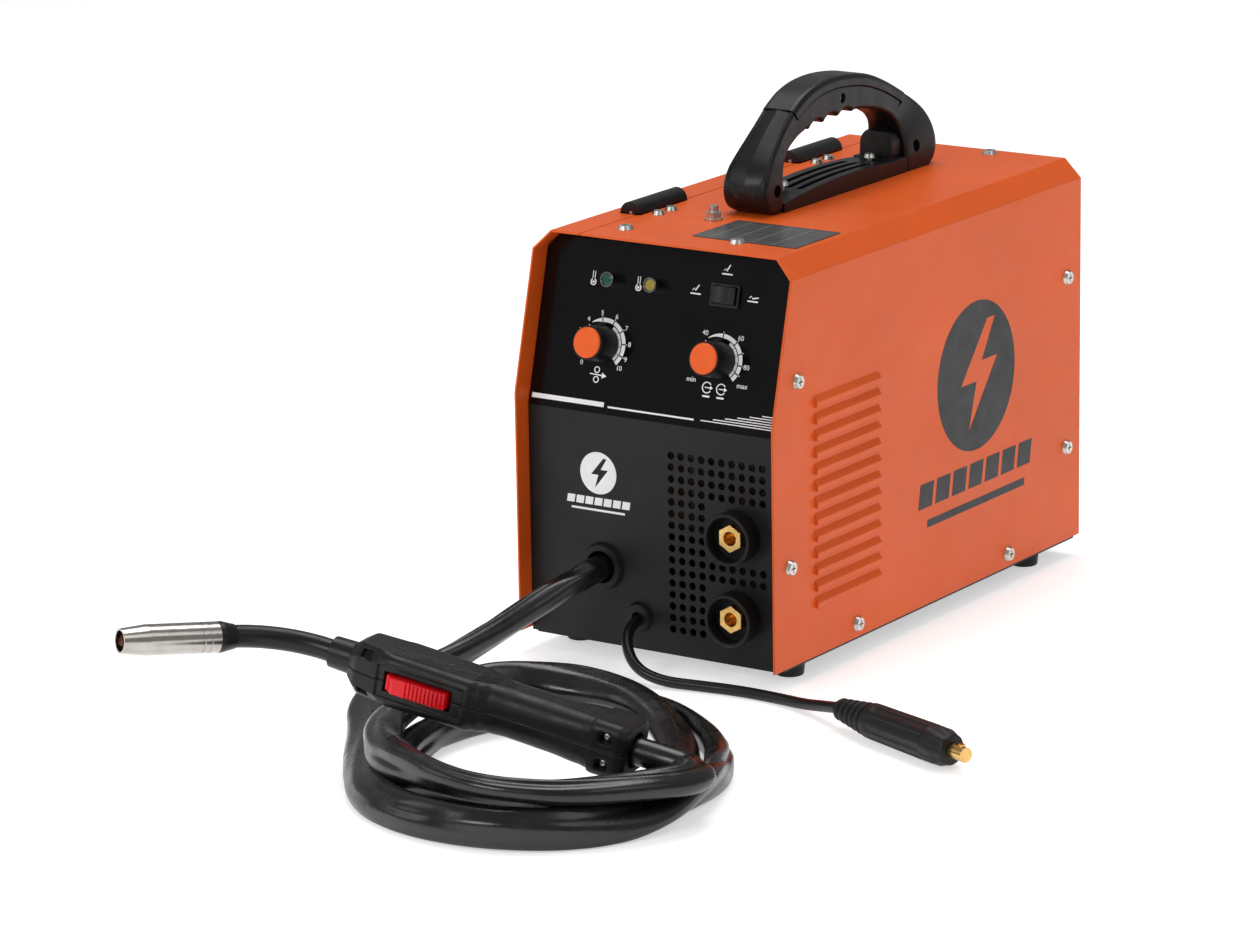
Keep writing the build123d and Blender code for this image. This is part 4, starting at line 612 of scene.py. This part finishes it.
def printed(name, origin, x_axis, y_axis, loops, words=(), thickness=0.10):
    """Raised print on a plane, in mm: closed outlines (a loop in a loop is a hole) and plain figures."""
    matrix = Matrix((x_axis, y_axis, x_axis.cross(y_axis))).transposed().to_4x4()
    matrix.translation = origin * MM
    merged = bmesh.new()

    def add(data):
        data.dimensions = "2D"
        data.fill_mode = "BOTH"
        data.extrude = thickness * MM * 0.6
        holder = link(bpy.data.objects.new("print_source", data))
        depsgraph = bpy.context.evaluated_depsgraph_get()
        made = bpy.data.meshes.new_from_object(holder.evaluated_get(depsgraph))
        merged.from_mesh(made)
        bpy.data.objects.remove(holder)
        bpy.data.meshes.remove(made)

    outlines = bpy.data.curves.new("outlines", "CURVE")
    outlines.dimensions = "2D"
    for loop in loops:
        spline = outlines.splines.new("POLY")
        spline.points.add(len(loop) - 1)
        for point, (x, y) in zip(spline.points, loop):
            point.co = (x * MM, y * MM, 0.0, 1.0)
        spline.use_cyclic_u = True
    add(outlines)
    for word, x, y, size in words:
        text = bpy.data.curves.new("figure", "FONT")
        text.body = word
        text.size = size * MM
        text.align_x = "CENTER"
        text.align_y = "CENTER"
        text.resolution_u = 4
        before = len(merged.verts)
        add(text)
        merged.verts.ensure_lookup_table()
        for vert in merged.verts[before:]:
            vert.co += Vector((x, y, 0)) * MM
    bmesh.ops.remove_doubles(merged, verts=merged.verts, dist=1e-6)
    for vert in merged.verts:
        vert.co.z += thickness * MM * 0.4
    merged.transform(matrix)
    mesh = bpy.data.meshes.new(name)
    merged.to_mesh(mesh)
    merged.free()
    piece = link(bpy.data.objects.new(name, mesh))
    return declare(piece, "welder", "plate")


PANEL_ORIGIN = Vector((0, PANEL_Y, BEND_Z)) / MM
PANEL_UP = Vector((0, math.sin(LEAN), math.cos(LEAN)))
AXIS_X, AXIS_Y, AXIS_Z = Vector((1, 0, 0)), Vector((0, 1, 0)), Vector((0, 0, 1))
DIALS = ((-43.4, 43.2), (42.2, 43.2))


def dial(cx, cy, marks, gaps, figure_r, size):
    """A knob's scale: a split outer band that swells, an inner band, ticks and figures."""
    loops, words = [], []
    edges = [130.0] + list(gaps) + [-48.0]
    for n, (a, b) in enumerate(zip(edges, edges[1:])):
        taper = 1.0 if n == 0 else 0.0
        loops.append(arc_band(cx, cy, 16.3, 13.7, a - 1.6, b + 1.6, taper))
    for n in range(5):
        a = 62 - 22 * n
        loops.append(arc_band(cx, cy, 13.0, 11.3, a, a - 20.4, steps=12))
    loops += [tick(cx, cy, angle, 14.8, 16.3, 0.45) for angle in (222, 207, 193, 179, 165, 151, 138)]
    loops += [tick(cx, cy, angle, 16.6, 17.6, 0.4) for angle in gaps]
    for word, angle in marks:
        a = math.radians(angle)
        words.append((word, cx + figure_r * math.cos(a), cy + figure_r * math.sin(a), size))
    return loops, words


def panel_marks():
    """Everything printed on the leaning face."""
    angles = (222, 201, 181, 160, 132, 100, 67, 36, 5, -24, -45)
    left = dial(*DIALS[0], [(str(n), a) for n, a in enumerate(angles)], (100, 67, 36, 5, -24), 19.3, 4.3)
    right_dial = dial(*DIALS[1], [("40", 129), ("60", 48), ("80", -7)], (88, 48, 20, -7, -28), 19.9, 4.3)
    loops, words = left[0] + right_dial[0], left[1] + right_dial[1]
    words += [("min", 23.6, 29.4, 4.6), ("max", 60.5, 29.2, 4.6)]
    # wire-feed sign: an arrow between two rollers
    loops += [bar(-50.6, 24.2, -41.7, 23.75, 0.7), [(-41.6, 25.6), (-41.6, 21.9), (-38.2, 23.6)]]
    for cy in (27.0, 20.9):
        loops += [circle(-45.6, cy, 2.1), circle(-45.6, cy, 1.45)]
    # two round dial signs
    for cx in (35.6, 45.9):
        loops.append(arc_band(cx, 25.6, 3.6, 2.9, 35, 325))
        loops += [bar(cx - 1.6, 25.6, cx + 2.1, 25.6, 0.6),
                  [(cx + 2.2, 26.9), (cx + 2.2, 24.3), (cx + 4.4, 25.6)]]
        loops.append(bar(cx - 2.6, 20.2, cx + 2.6, 20.2, 1.1))
    # two lamp signs, a thermometer each
    for cx in (-56.4, -23.0):
        loops += [arc_band(cx, 80.7, 2.2, 1.5, 65, -245), bar(cx - 0.8, 83.0, cx - 0.8, 87.6, 0.45),
                  bar(cx + 0.8, 83.0, cx + 0.8, 87.6, 0.45), circle(cx, 80.7, 0.8)]
    # three switch signs: a bar with a small torch or electrode over it
    for cx, cy, tilt in ((19.0, 81.6, 55), (40.0, 95.8, 62), (60.5, 81.2, 10)):
        a = math.radians(tilt)
        loops.append(bar(cx - 3.8, cy, cx + 3.8, cy, 0.9))
        loops.append(bar(cx - 0.6, cy + 1.8, cx - 0.6 + 4.6 * math.cos(a), cy + 1.8 + 4.6 * math.sin(a), 0.8))
        loops.append(bar(cx - 2.6, cy + 2.0, cx - 1.0, cy + 3.4, 0.5))
    # staggered stripes and a plain rule along the lower edge
    for n in range(6):
        loops.append(bar(34 + 8.7 * n, 5.2 + 1.55 * n, 86.2, 5.2 + 1.55 * n, 0.62))
    loops += [bar(-91.5, 6.0, -37.5, 6.0, 3.0), bar(-34.5, 5.0, 29.0, 5.0, 1.1)]
    return printed("panel_marks", PANEL_ORIGIN, AXIS_X, PANEL_UP, loops, words)


def emblem(cx, cy, size):
    """Plain sign: a round disc with a bolt cut out of it."""
    bolt = [(0.14, 0.36), (-0.20, -0.04), (0.0, -0.04), (-0.10, -0.36), (0.27, 0.09), (0.07, 0.09),
            (0.24, 0.36)]
    return [circle(cx, cy, size / 2, 64), [(cx + x * size, cy + y * size) for x, y in bolt]]


def tilted_bars(cx, cy, width, height, count, gap):
    """Row of leaning blocks, all one height."""
    step = width / count
    loops = []
    for n in range(count):
        x = cx - width / 2 + step * n
        low, high, lean = cy - height / 2, cy + height / 2, height * 0.18
        loops.append([(x, low), (x + step - gap, low), (x + step - gap + lean, high), (x + lean, high)])
    return loops


def front_emblem():
    loops = emblem(-41.5, 119.5, 27) + tilted_bars(-41.5, 101.2, 48, 5.0, 7, 1.2)
    loops.append(bar(-62, 95.6, -22, 95.6, 1.4))
    return printed("front_emblem", Vector((0, PANEL_Y / MM, 0)), AXIS_X, AXIS_Z, loops)


def side_emblem():
    loops = emblem(54, 150, 98) + tilted_bars(54, 85, 146, 16, 7, 4) + [bar(-8, 66, 116, 66, 5.0)]
    return printed("side_emblem", Vector((HALF_W / MM, 0, 0)), AXIS_Y, AXIS_Z, loops)


marks = panel_marks()
front_sign = front_emblem()
side_sign = side_emblem()


# ---------------------------------------------------------------- materials
class Shader:
    """A Principled material with helpers for its procedural inputs, in object coordinates."""

    def __init__(self, name):
        self.material = bpy.data.materials.new(name)
        self.material.use_nodes = True
        self.nodes = self.material.node_tree.nodes
        self.links = self.material.node_tree.links
        self.shader = self.nodes["Principled BSDF"]
        self.place = self.nodes.new("ShaderNodeTexCoord").outputs["Object"]

    def node(self, kind, inputs=(), **settings):
        made = self.nodes.new(kind)
        for key, value in settings.items():
            setattr(made, key, value)
        for key, value in dict(inputs).items():
            if isinstance(value, bpy.types.NodeSocket):
                self.links.new(value, made.inputs[key])
            else:
                made.inputs[key].default_value = value
        return made

    def noise(self, scale, detail=3.0, stretch=None, roughness=0.5):
        place = self.place
        if stretch:
            place = self.node("ShaderNodeMapping", {"Vector": place, "Scale": stretch}).outputs[0]
        return self.node("ShaderNodeTexNoise", {"Vector": place, "Scale": scale, "Detail": detail,
                                                "Roughness": roughness}).outputs["Fac"]

    def ramp(self, value, low, high, to_low=0.0, to_high=1.0):
        return self.node("ShaderNodeMapRange", {"Value": value, "From Min": low, "From Max": high,
                                                "To Min": to_low, "To Max": to_high}).outputs[0]

    def math(self, operation, a, b=0.5):
        return self.node("ShaderNodeMath", {0: a, 1: b}, operation=operation).outputs[0]

    def mix(self, factor, a, b):
        made = self.nodes.new("ShaderNodeMix")
        made.data_type = "RGBA"
        for key, value in ((0, factor), (6, a), (7, b)):
            if isinstance(value, bpy.types.NodeSocket):
                self.links.new(value, made.inputs[key])
            else:
                made.inputs[key].default_value = value if key == 0 else (*value[:3], 1.0)
        return made.outputs[2]

    def edges(self, radius):
        """1 on convex and concave edges, 0 on flats, with the rounded normal."""
        bevel = self.node("ShaderNodeBevel", {"Radius": radius}, samples=6)
        flat = self.node("ShaderNodeNewGeometry").outputs["Normal"]
        dot = self.node("ShaderNodeVectorMath", {0: bevel.outputs[0], 1: flat}, operation="DOT_PRODUCT")
        return bevel.outputs[0], self.ramp(dot.outputs["Value"], 0.97, 0.80)

    def bump(self, heights, normal=None):
        """Chain (height socket, strength, distance) bumps onto the shader."""
        for height, strength, distance in heights:
            made = self.node("ShaderNodeBump", {"Height": height, "Strength": strength, "Distance": distance})
            if normal is not None:
                self.links.new(normal, made.inputs["Normal"])
            normal = made.outputs[0]
        if normal is not None:
            self.links.new(normal, self.shader.inputs["Normal"])

    def set(self, **values):
        names = {"color": "Base Color", "rough": "Roughness", "metal": "Metallic", "ior": "IOR",
                 "coat": "Coat Weight", "specular": "Specular IOR Level",
                 "transmission": "Transmission Weight", "emission": "Emission Color",
                 "glow": "Emission Strength"}
        for key, value in values.items():
            socket = self.shader.inputs[names[key]]
            if isinstance(value, bpy.types.NodeSocket):
                self.links.new(value, socket)
            else:
                socket.default_value = (*value, 1.0) if isinstance(value, tuple) else value
        return self


def coated(name, color, rough=0.42, round_edge=0.6, edge_light=0.25, grain=1.0, specular=0.28):
    """Powder-coated sheet: orange-peel relief, faint mottling, and a painted highlight in noisy patches along
    its edges.
    """
    m = Shader(name)
    normal, edge = m.edges(round_edge * MM)
    mottled = m.ramp(m.noise(14, 4), 0.3, 0.7)
    base = m.mix(mottled, [c * 0.93 for c in color], [min(1, c * 1.04) for c in color])
    # painted highlight: lighter colour along convex and concave edges, broken into patches by noise
    edge_highlight = m.math("MULTIPLY", edge, m.ramp(m.noise(260, 5), 0.42, 0.75))
    base = m.mix(m.math("MULTIPLY", edge_highlight, edge_light), base, [min(1, c * 1.6 + 0.05) for c in color])
    m.set(color=base, rough=m.ramp(m.noise(45, 4), 0.3, 0.7, rough - 0.05, rough + 0.06), specular=specular)
    m.bump([(m.noise(900, 2), 0.10 * grain, 0.25 * MM), (m.noise(9, 2), 0.05, 2.0 * MM)], normal)
    return m.material


def moulded(name, color, rough=0.5, round_edge=0.7, grain=1.0, grain_scale=1600, edge_light=0.3,
            specular=0.32):
    """Moulded plastic or rubber with a spark-eroded grain and a painted highlight along its edges."""
    m = Shader(name)
    normal, edge = m.edges(round_edge * MM)
    blotch = m.ramp(m.noise(30, 5), 0.3, 0.7)
    base = m.mix(blotch, [c * 0.85 for c in color], [min(1, c * 1.15) for c in color])
    # painted highlight: lighter colour along convex and concave edges
    base = m.mix(m.math("MULTIPLY", edge, edge_light), base, [min(1, c * 1.9 + 0.012) for c in color])
    dull = m.ramp(m.noise(90, 5), 0.3, 0.7, rough - 0.06, rough + 0.08)
    m.set(color=base, rough=dull, specular=specular)
    m.bump([(m.noise(grain_scale, 2), 0.22 * grain, 0.12 * MM), (m.noise(70, 3), 0.06, 0.6 * MM)], normal)
    return m.material


def metal(name, color, rough=0.28, round_edge=0.25, marks_deep=0.12, marks_scale=500, stain=None):
    """Machined or plated metal with fine tool marks and faint stains."""
    m = Shader(name)
    normal, edge = m.edges(round_edge * MM)
    patches = m.ramp(m.noise(120, 5), 0.35, 0.7)
    base = m.mix(patches, color, stain or [c * 0.8 for c in color])
    # painted highlight: lighter colour along convex and concave edges
    base = m.mix(m.math("MULTIPLY", edge, 0.35), base, [min(1, c * 1.25) for c in color])
    marks = m.noise(marks_scale, 3)
    m.set(color=base, rough=m.ramp(marks, 0.25, 0.75, rough - 0.06, rough + 0.08), metal=1.0)
    m.bump([(marks, marks_deep, 0.06 * MM)], normal)
    return m.material


ORANGE = (0.80, 0.112, 0.011)
BLACK = (0.0085, 0.0085, 0.009)


def front_material():
    """Black front: satin powder coat below the bend, glossy printed film on the leaning face above it, whose
    darker colour there is painted shade.
    """
    m = Shader("front_black")
    normal, edge = m.edges(0.5 * MM)
    height = m.node("ShaderNodeSeparateXYZ", {0: m.place}).outputs["Z"]
    film_and_shade = m.ramp(height, BEND_Z - 0.0002, BEND_Z + 0.0002)
    # painted shade: the glossy film above the bend gets a darker colour than the coat below
    base = m.mix(film_and_shade, (0.0095, 0.0095, 0.0098), (0.0028, 0.0028, 0.003))
    # painted highlight: lighter colour along convex and concave edges
    base = m.mix(m.math("MULTIPLY", edge, 0.3), base, (0.07, 0.07, 0.07))
    speck = m.ramp(m.noise(1500, 2), 0.73, 0.78)
    base = m.mix(m.math("MULTIPLY", speck, 0.10), base, (0.22, 0.22, 0.22))
    satin = m.ramp(m.noise(60, 4), 0.3, 0.7, 0.40, 0.50)
    gloss = m.ramp(m.noise(40, 3), 0.3, 0.7, 0.13, 0.18)
    rough = m.node("ShaderNodeMix", {0: film_and_shade, 2: satin, 3: gloss}).outputs[0]
    m.set(color=base, rough=rough, specular=0.25)
    relief = m.math("MULTIPLY", m.noise(1300, 2), m.math("SUBTRACT", 1.0, film_and_shade))
    m.bump([(relief, 0.14, 0.15 * MM)], normal)
    return m.material


def plate_material():
    """Dark label with faint ruled rows and columns in place of its printing."""
    m = Shader("label_print")
    split = m.node("ShaderNodeSeparateXYZ", {0: m.place})
    x, y = split.outputs["X"], split.outputs["Y"]

    def ruled(along, pitch, low, high):
        part = m.math("FRACT", m.math("MULTIPLY", along, 1 / pitch))
        return m.ramp(m.math("ABSOLUTE", m.math("SUBTRACT", part, 0.5)), low, high)

    rows, columns = ruled(y, 0.0053, 0.46, 0.47), ruled(x, 0.0151, 0.480, 0.485)
    lines = m.math("MAXIMUM", rows, columns)
    inside_x = m.math("LESS_THAN", m.math("ABSOLUTE", m.math("SUBTRACT", x, 0.041)), 0.0345)
    inside_y = m.math("LESS_THAN", m.math("ABSOLUTE", m.math("ADD", y, 0.110)), 0.0235)
    lines = m.math("MULTIPLY", lines, m.math("MULTIPLY", inside_x, inside_y))
    base = m.mix(m.ramp(m.noise(60, 4), 0.3, 0.7), (0.075, 0.075, 0.082), (0.10, 0.10, 0.107))
    m.set(color=m.mix(m.math("MULTIPLY", lines, 0.8), base, (0.42, 0.42, 0.43)),
          rough=m.ramp(m.noise(200, 3), 0.3, 0.7, 0.28, 0.38), metal=0.35)
    m.bump([(m.noise(700, 2), 0.08, 0.1 * MM)], m.edges(0.15 * MM)[0])
    return m.material


def lens(name, color, deep):
    """Clear tinted lamp cover."""
    m = Shader(name)
    rough = m.ramp(m.noise(90, 2), 0.3, 0.7, 0.08, 0.14)
    m.set(color=m.mix(m.ramp(m.noise(300, 3), 0.3, 0.7), color, deep), rough=rough, transmission=0.35,
          ior=1.49, coat=0.6)
    m.bump([(m.noise(220, 2), 0.05, 0.2 * MM)])
    return m.material


def sleeve_material():
    """Thin glossy hose sleeve: soft creases, scuffs and dust."""
    m = Shader("hose_sleeve")
    base = m.mix(m.ramp(m.noise(35, 5), 0.35, 0.7), (0.0045, 0.0045, 0.0052), (0.0085, 0.0085, 0.0095))
    specks = m.ramp(m.noise(900, 4, roughness=0.7), 0.66, 0.80)
    dust = m.math("MULTIPLY", specks, m.ramp(m.noise(28, 3), 0.45, 0.7))
    base = m.mix(m.math("MULTIPLY", dust, 0.25), base, (0.35, 0.35, 0.36))
    m.set(color=base, rough=m.ramp(m.noise(75, 5), 0.3, 0.75, 0.19, 0.36), specular=0.55)
    m.bump([(m.noise(55, 4), 0.35, 1.2 * MM), (m.noise(420, 3), 0.08, 0.25 * MM)])
    return m.material


def wire_material():
    """Copper-coated wire: fine windings across the spool's width, with painted shade between the turns and a
    painted highlight on each turn.
    """
    m = Shader("copper_wire")
    x = m.node("ShaderNodeSeparateXYZ", {0: m.place}).outputs["X"]
    winding_relief_and_shade = m.math("ABSOLUTE", m.math("SINE", m.math("MULTIPLY", x, math.pi / 0.0009)))
    # painted shade and highlight: dark between the turns, light on their crowns
    base = m.mix(winding_relief_and_shade, (0.20, 0.075, 0.035), (0.80, 0.38, 0.22))
    m.set(color=m.mix(m.ramp(m.noise(150, 4), 0.3, 0.7, 0, 0.35), base, (0.62, 0.33, 0.20)), metal=1.0,
          rough=m.ramp(m.noise(300, 3), 0.3, 0.7, 0.22, 0.36))
    m.bump([(winding_relief_and_shade, 0.7, 0.4 * MM)])
    return m.material


MATERIALS = {
    "orange": coated("orange_coat", ORANGE, rough=0.40, round_edge=0.9, grain=0.8, edge_light=0.35),
    "steel_black": coated("black_coat", BLACK, rough=0.42),
    "front": front_material(),
    "black_plastic": moulded("black_moulding", (0.0062, 0.0062, 0.0068), rough=0.36, round_edge=1.0),
    "grip": moulded("torch_grip", (0.0072, 0.0072, 0.0076), rough=0.42, round_edge=1.4, grain=1.2),
    "grey_plastic": moulded("grey_moulding", (0.10, 0.10, 0.11), rough=0.45),
    "rubber": moulded("black_rubber", (0.006, 0.006, 0.0064), rough=0.50, round_edge=0.6, grain=0.8),
    "cable": moulded("cable_jacket", (0.006, 0.006, 0.0065), rough=0.33, round_edge=0.3, grain=0.5,
                     grain_scale=700),
    "sleeve": moulded("neck_sleeve", (0.0065, 0.0065, 0.007), rough=0.33, round_edge=0.6, grain=0.6),
    "hose": sleeve_material(),
    "cap_orange": moulded("orange_cap", (1.0, 0.13, 0.015), rough=0.45, round_edge=0.5, grain=0.6,
                          edge_light=0.15),
    "red": moulded("red_trigger", (0.74, 0.006, 0.012), rough=0.32, round_edge=0.35, grain=0.4,
                   edge_light=0.25),
    "zinc": metal("zinc_plate", (0.66, 0.65, 0.62), rough=0.30, stain=(0.50, 0.49, 0.44)),
    "chrome": metal("dark_chrome", (0.30, 0.30, 0.31), rough=0.13, round_edge=0.3),
    "brass": metal("socket_brass", (0.80, 0.53, 0.20), rough=0.24, round_edge=0.4, stain=(0.66, 0.40, 0.13)),
    "copper": metal("tip_copper", (0.70, 0.32, 0.20), rough=0.30, stain=(0.25, 0.13, 0.09)),
    "nickel": metal("nozzle_nickel", (0.50, 0.47, 0.44), rough=0.17, round_edge=0.4, marks_deep=0.02,
                    marks_scale=900, stain=(0.44, 0.41, 0.38)),
    "aluminium": metal("heat_sink_alloy", (0.72, 0.72, 0.73), rough=0.38),
    "board": moulded("circuit_board", (0.02, 0.14, 0.05), rough=0.35, grain=0.5),
    "core": moulded("varnished_core", (0.22, 0.12, 0.04), rough=0.4),
    "plate": plate_material(),
    "lens_green": lens("lamp_green", (0.01, 0.16, 0.07), (0.005, 0.09, 0.045)),
    "lens_yellow": lens("lamp_yellow", (0.62, 0.46, 0.05), (0.42, 0.30, 0.03)),
    "wire": wire_material(),
    "print_white": moulded("white_print", (0.95, 0.95, 0.95), rough=0.45, round_edge=0.03, grain=0.3,
                           edge_light=0.0),
    "print_dark": moulded("dark_print", (0.014, 0.015, 0.018), rough=0.40, round_edge=0.03, grain=0.3,
                          edge_light=0.0),
}
NODE_SLOT = {entry["node"]: entry["material_slot"] for entry in frame["record"]["subparts"]}
LOOK = {"front_panel": "front", "rear_panel": "steel_black", "socket_bodies": "rubber",
        "hinge_leaves": "black_plastic"}
for name, node in NODES.items():
    look = LOOK.get(name, NODE_SLOT[name])
    if not node.material_slots:
        node.data.materials.append(None)
    for material_slot in node.material_slots:
        material_slot.material = MATERIALS[look]
for piece, look in ((hose, "hose"), (cable, "cable"), (marks, "print_white"), (front_sign, "print_white"),
                    (side_sign, "print_dark"), (shell_upper, "grip"), (shell_lower, "grip"), (trigger, "red"),
                    (plug, "rubber"), (handle_form, "black_plastic"), (handle_top_form, "black_plastic"),
                    (shell_screws[0], "zinc"), (shell_screws[1], "zinc")):
    piece.data.materials.append(MATERIALS[look])

# ---------------------------------------------------------------- floor and light
FLOOR_GLOW = 0.52       # keeps the floor white behind the object
WORLD_LIGHT = 0.30
floor = mesh_object("floor", [(-9, -9, 0), (9, -9, 0), (9, 9, 0), (-9, 9, 0)], [(0, 1, 2, 3)])
floor_shader = Shader("floor_white")
floor_white = floor_shader.mix(floor_shader.noise(3, 2), (0.92, 0.92, 0.92), (0.95, 0.95, 0.95))
floor_shader.set(color=floor_white, rough=0.6, emission=(1.0, 1.0, 1.0), glow=FLOOR_GLOW)
floor.data.materials.append(floor_shader.material)

world = bpy.data.worlds.new("studio")
bpy.context.scene.world = world
world.use_nodes = True
world.node_tree.nodes["Background"].inputs["Color"].default_value = (1, 1, 1, 1)
world.node_tree.nodes["Background"].inputs["Strength"].default_value = WORLD_LIGHT
bpy.context.scene.view_settings.view_transform = "Standard"


def softbox(name, place, target, width, height, power):
    data = bpy.data.lights.new(name, "AREA")
    data.shape, data.size, data.size_y, data.energy = "RECTANGLE", width, height, power
    light = link(bpy.data.objects.new(name, data))
    light.location = place
    light.rotation_euler = (Vector(target) - Vector(place)).to_track_quat("-Z", "Y").to_euler()


softbox("key_light", (2.0, -0.6, 2.2), (0, 0, 0.12), 1.6, 1.2, 7)
softbox("top_light", (-0.3, 0.5, 2.5), (0, 0, 0.1), 1.6, 1.6, 34)
softbox("left_light", (-2.0, -1.6, 1.3), (0, -0.2, 0.1), 1.0, 1.4, 6)
softbox("front_light", (-0.5, -3.2, 1.7), (0, -0.2, 0.15), 1.2, 0.8, 26)

bpy.context.view_layer.update()
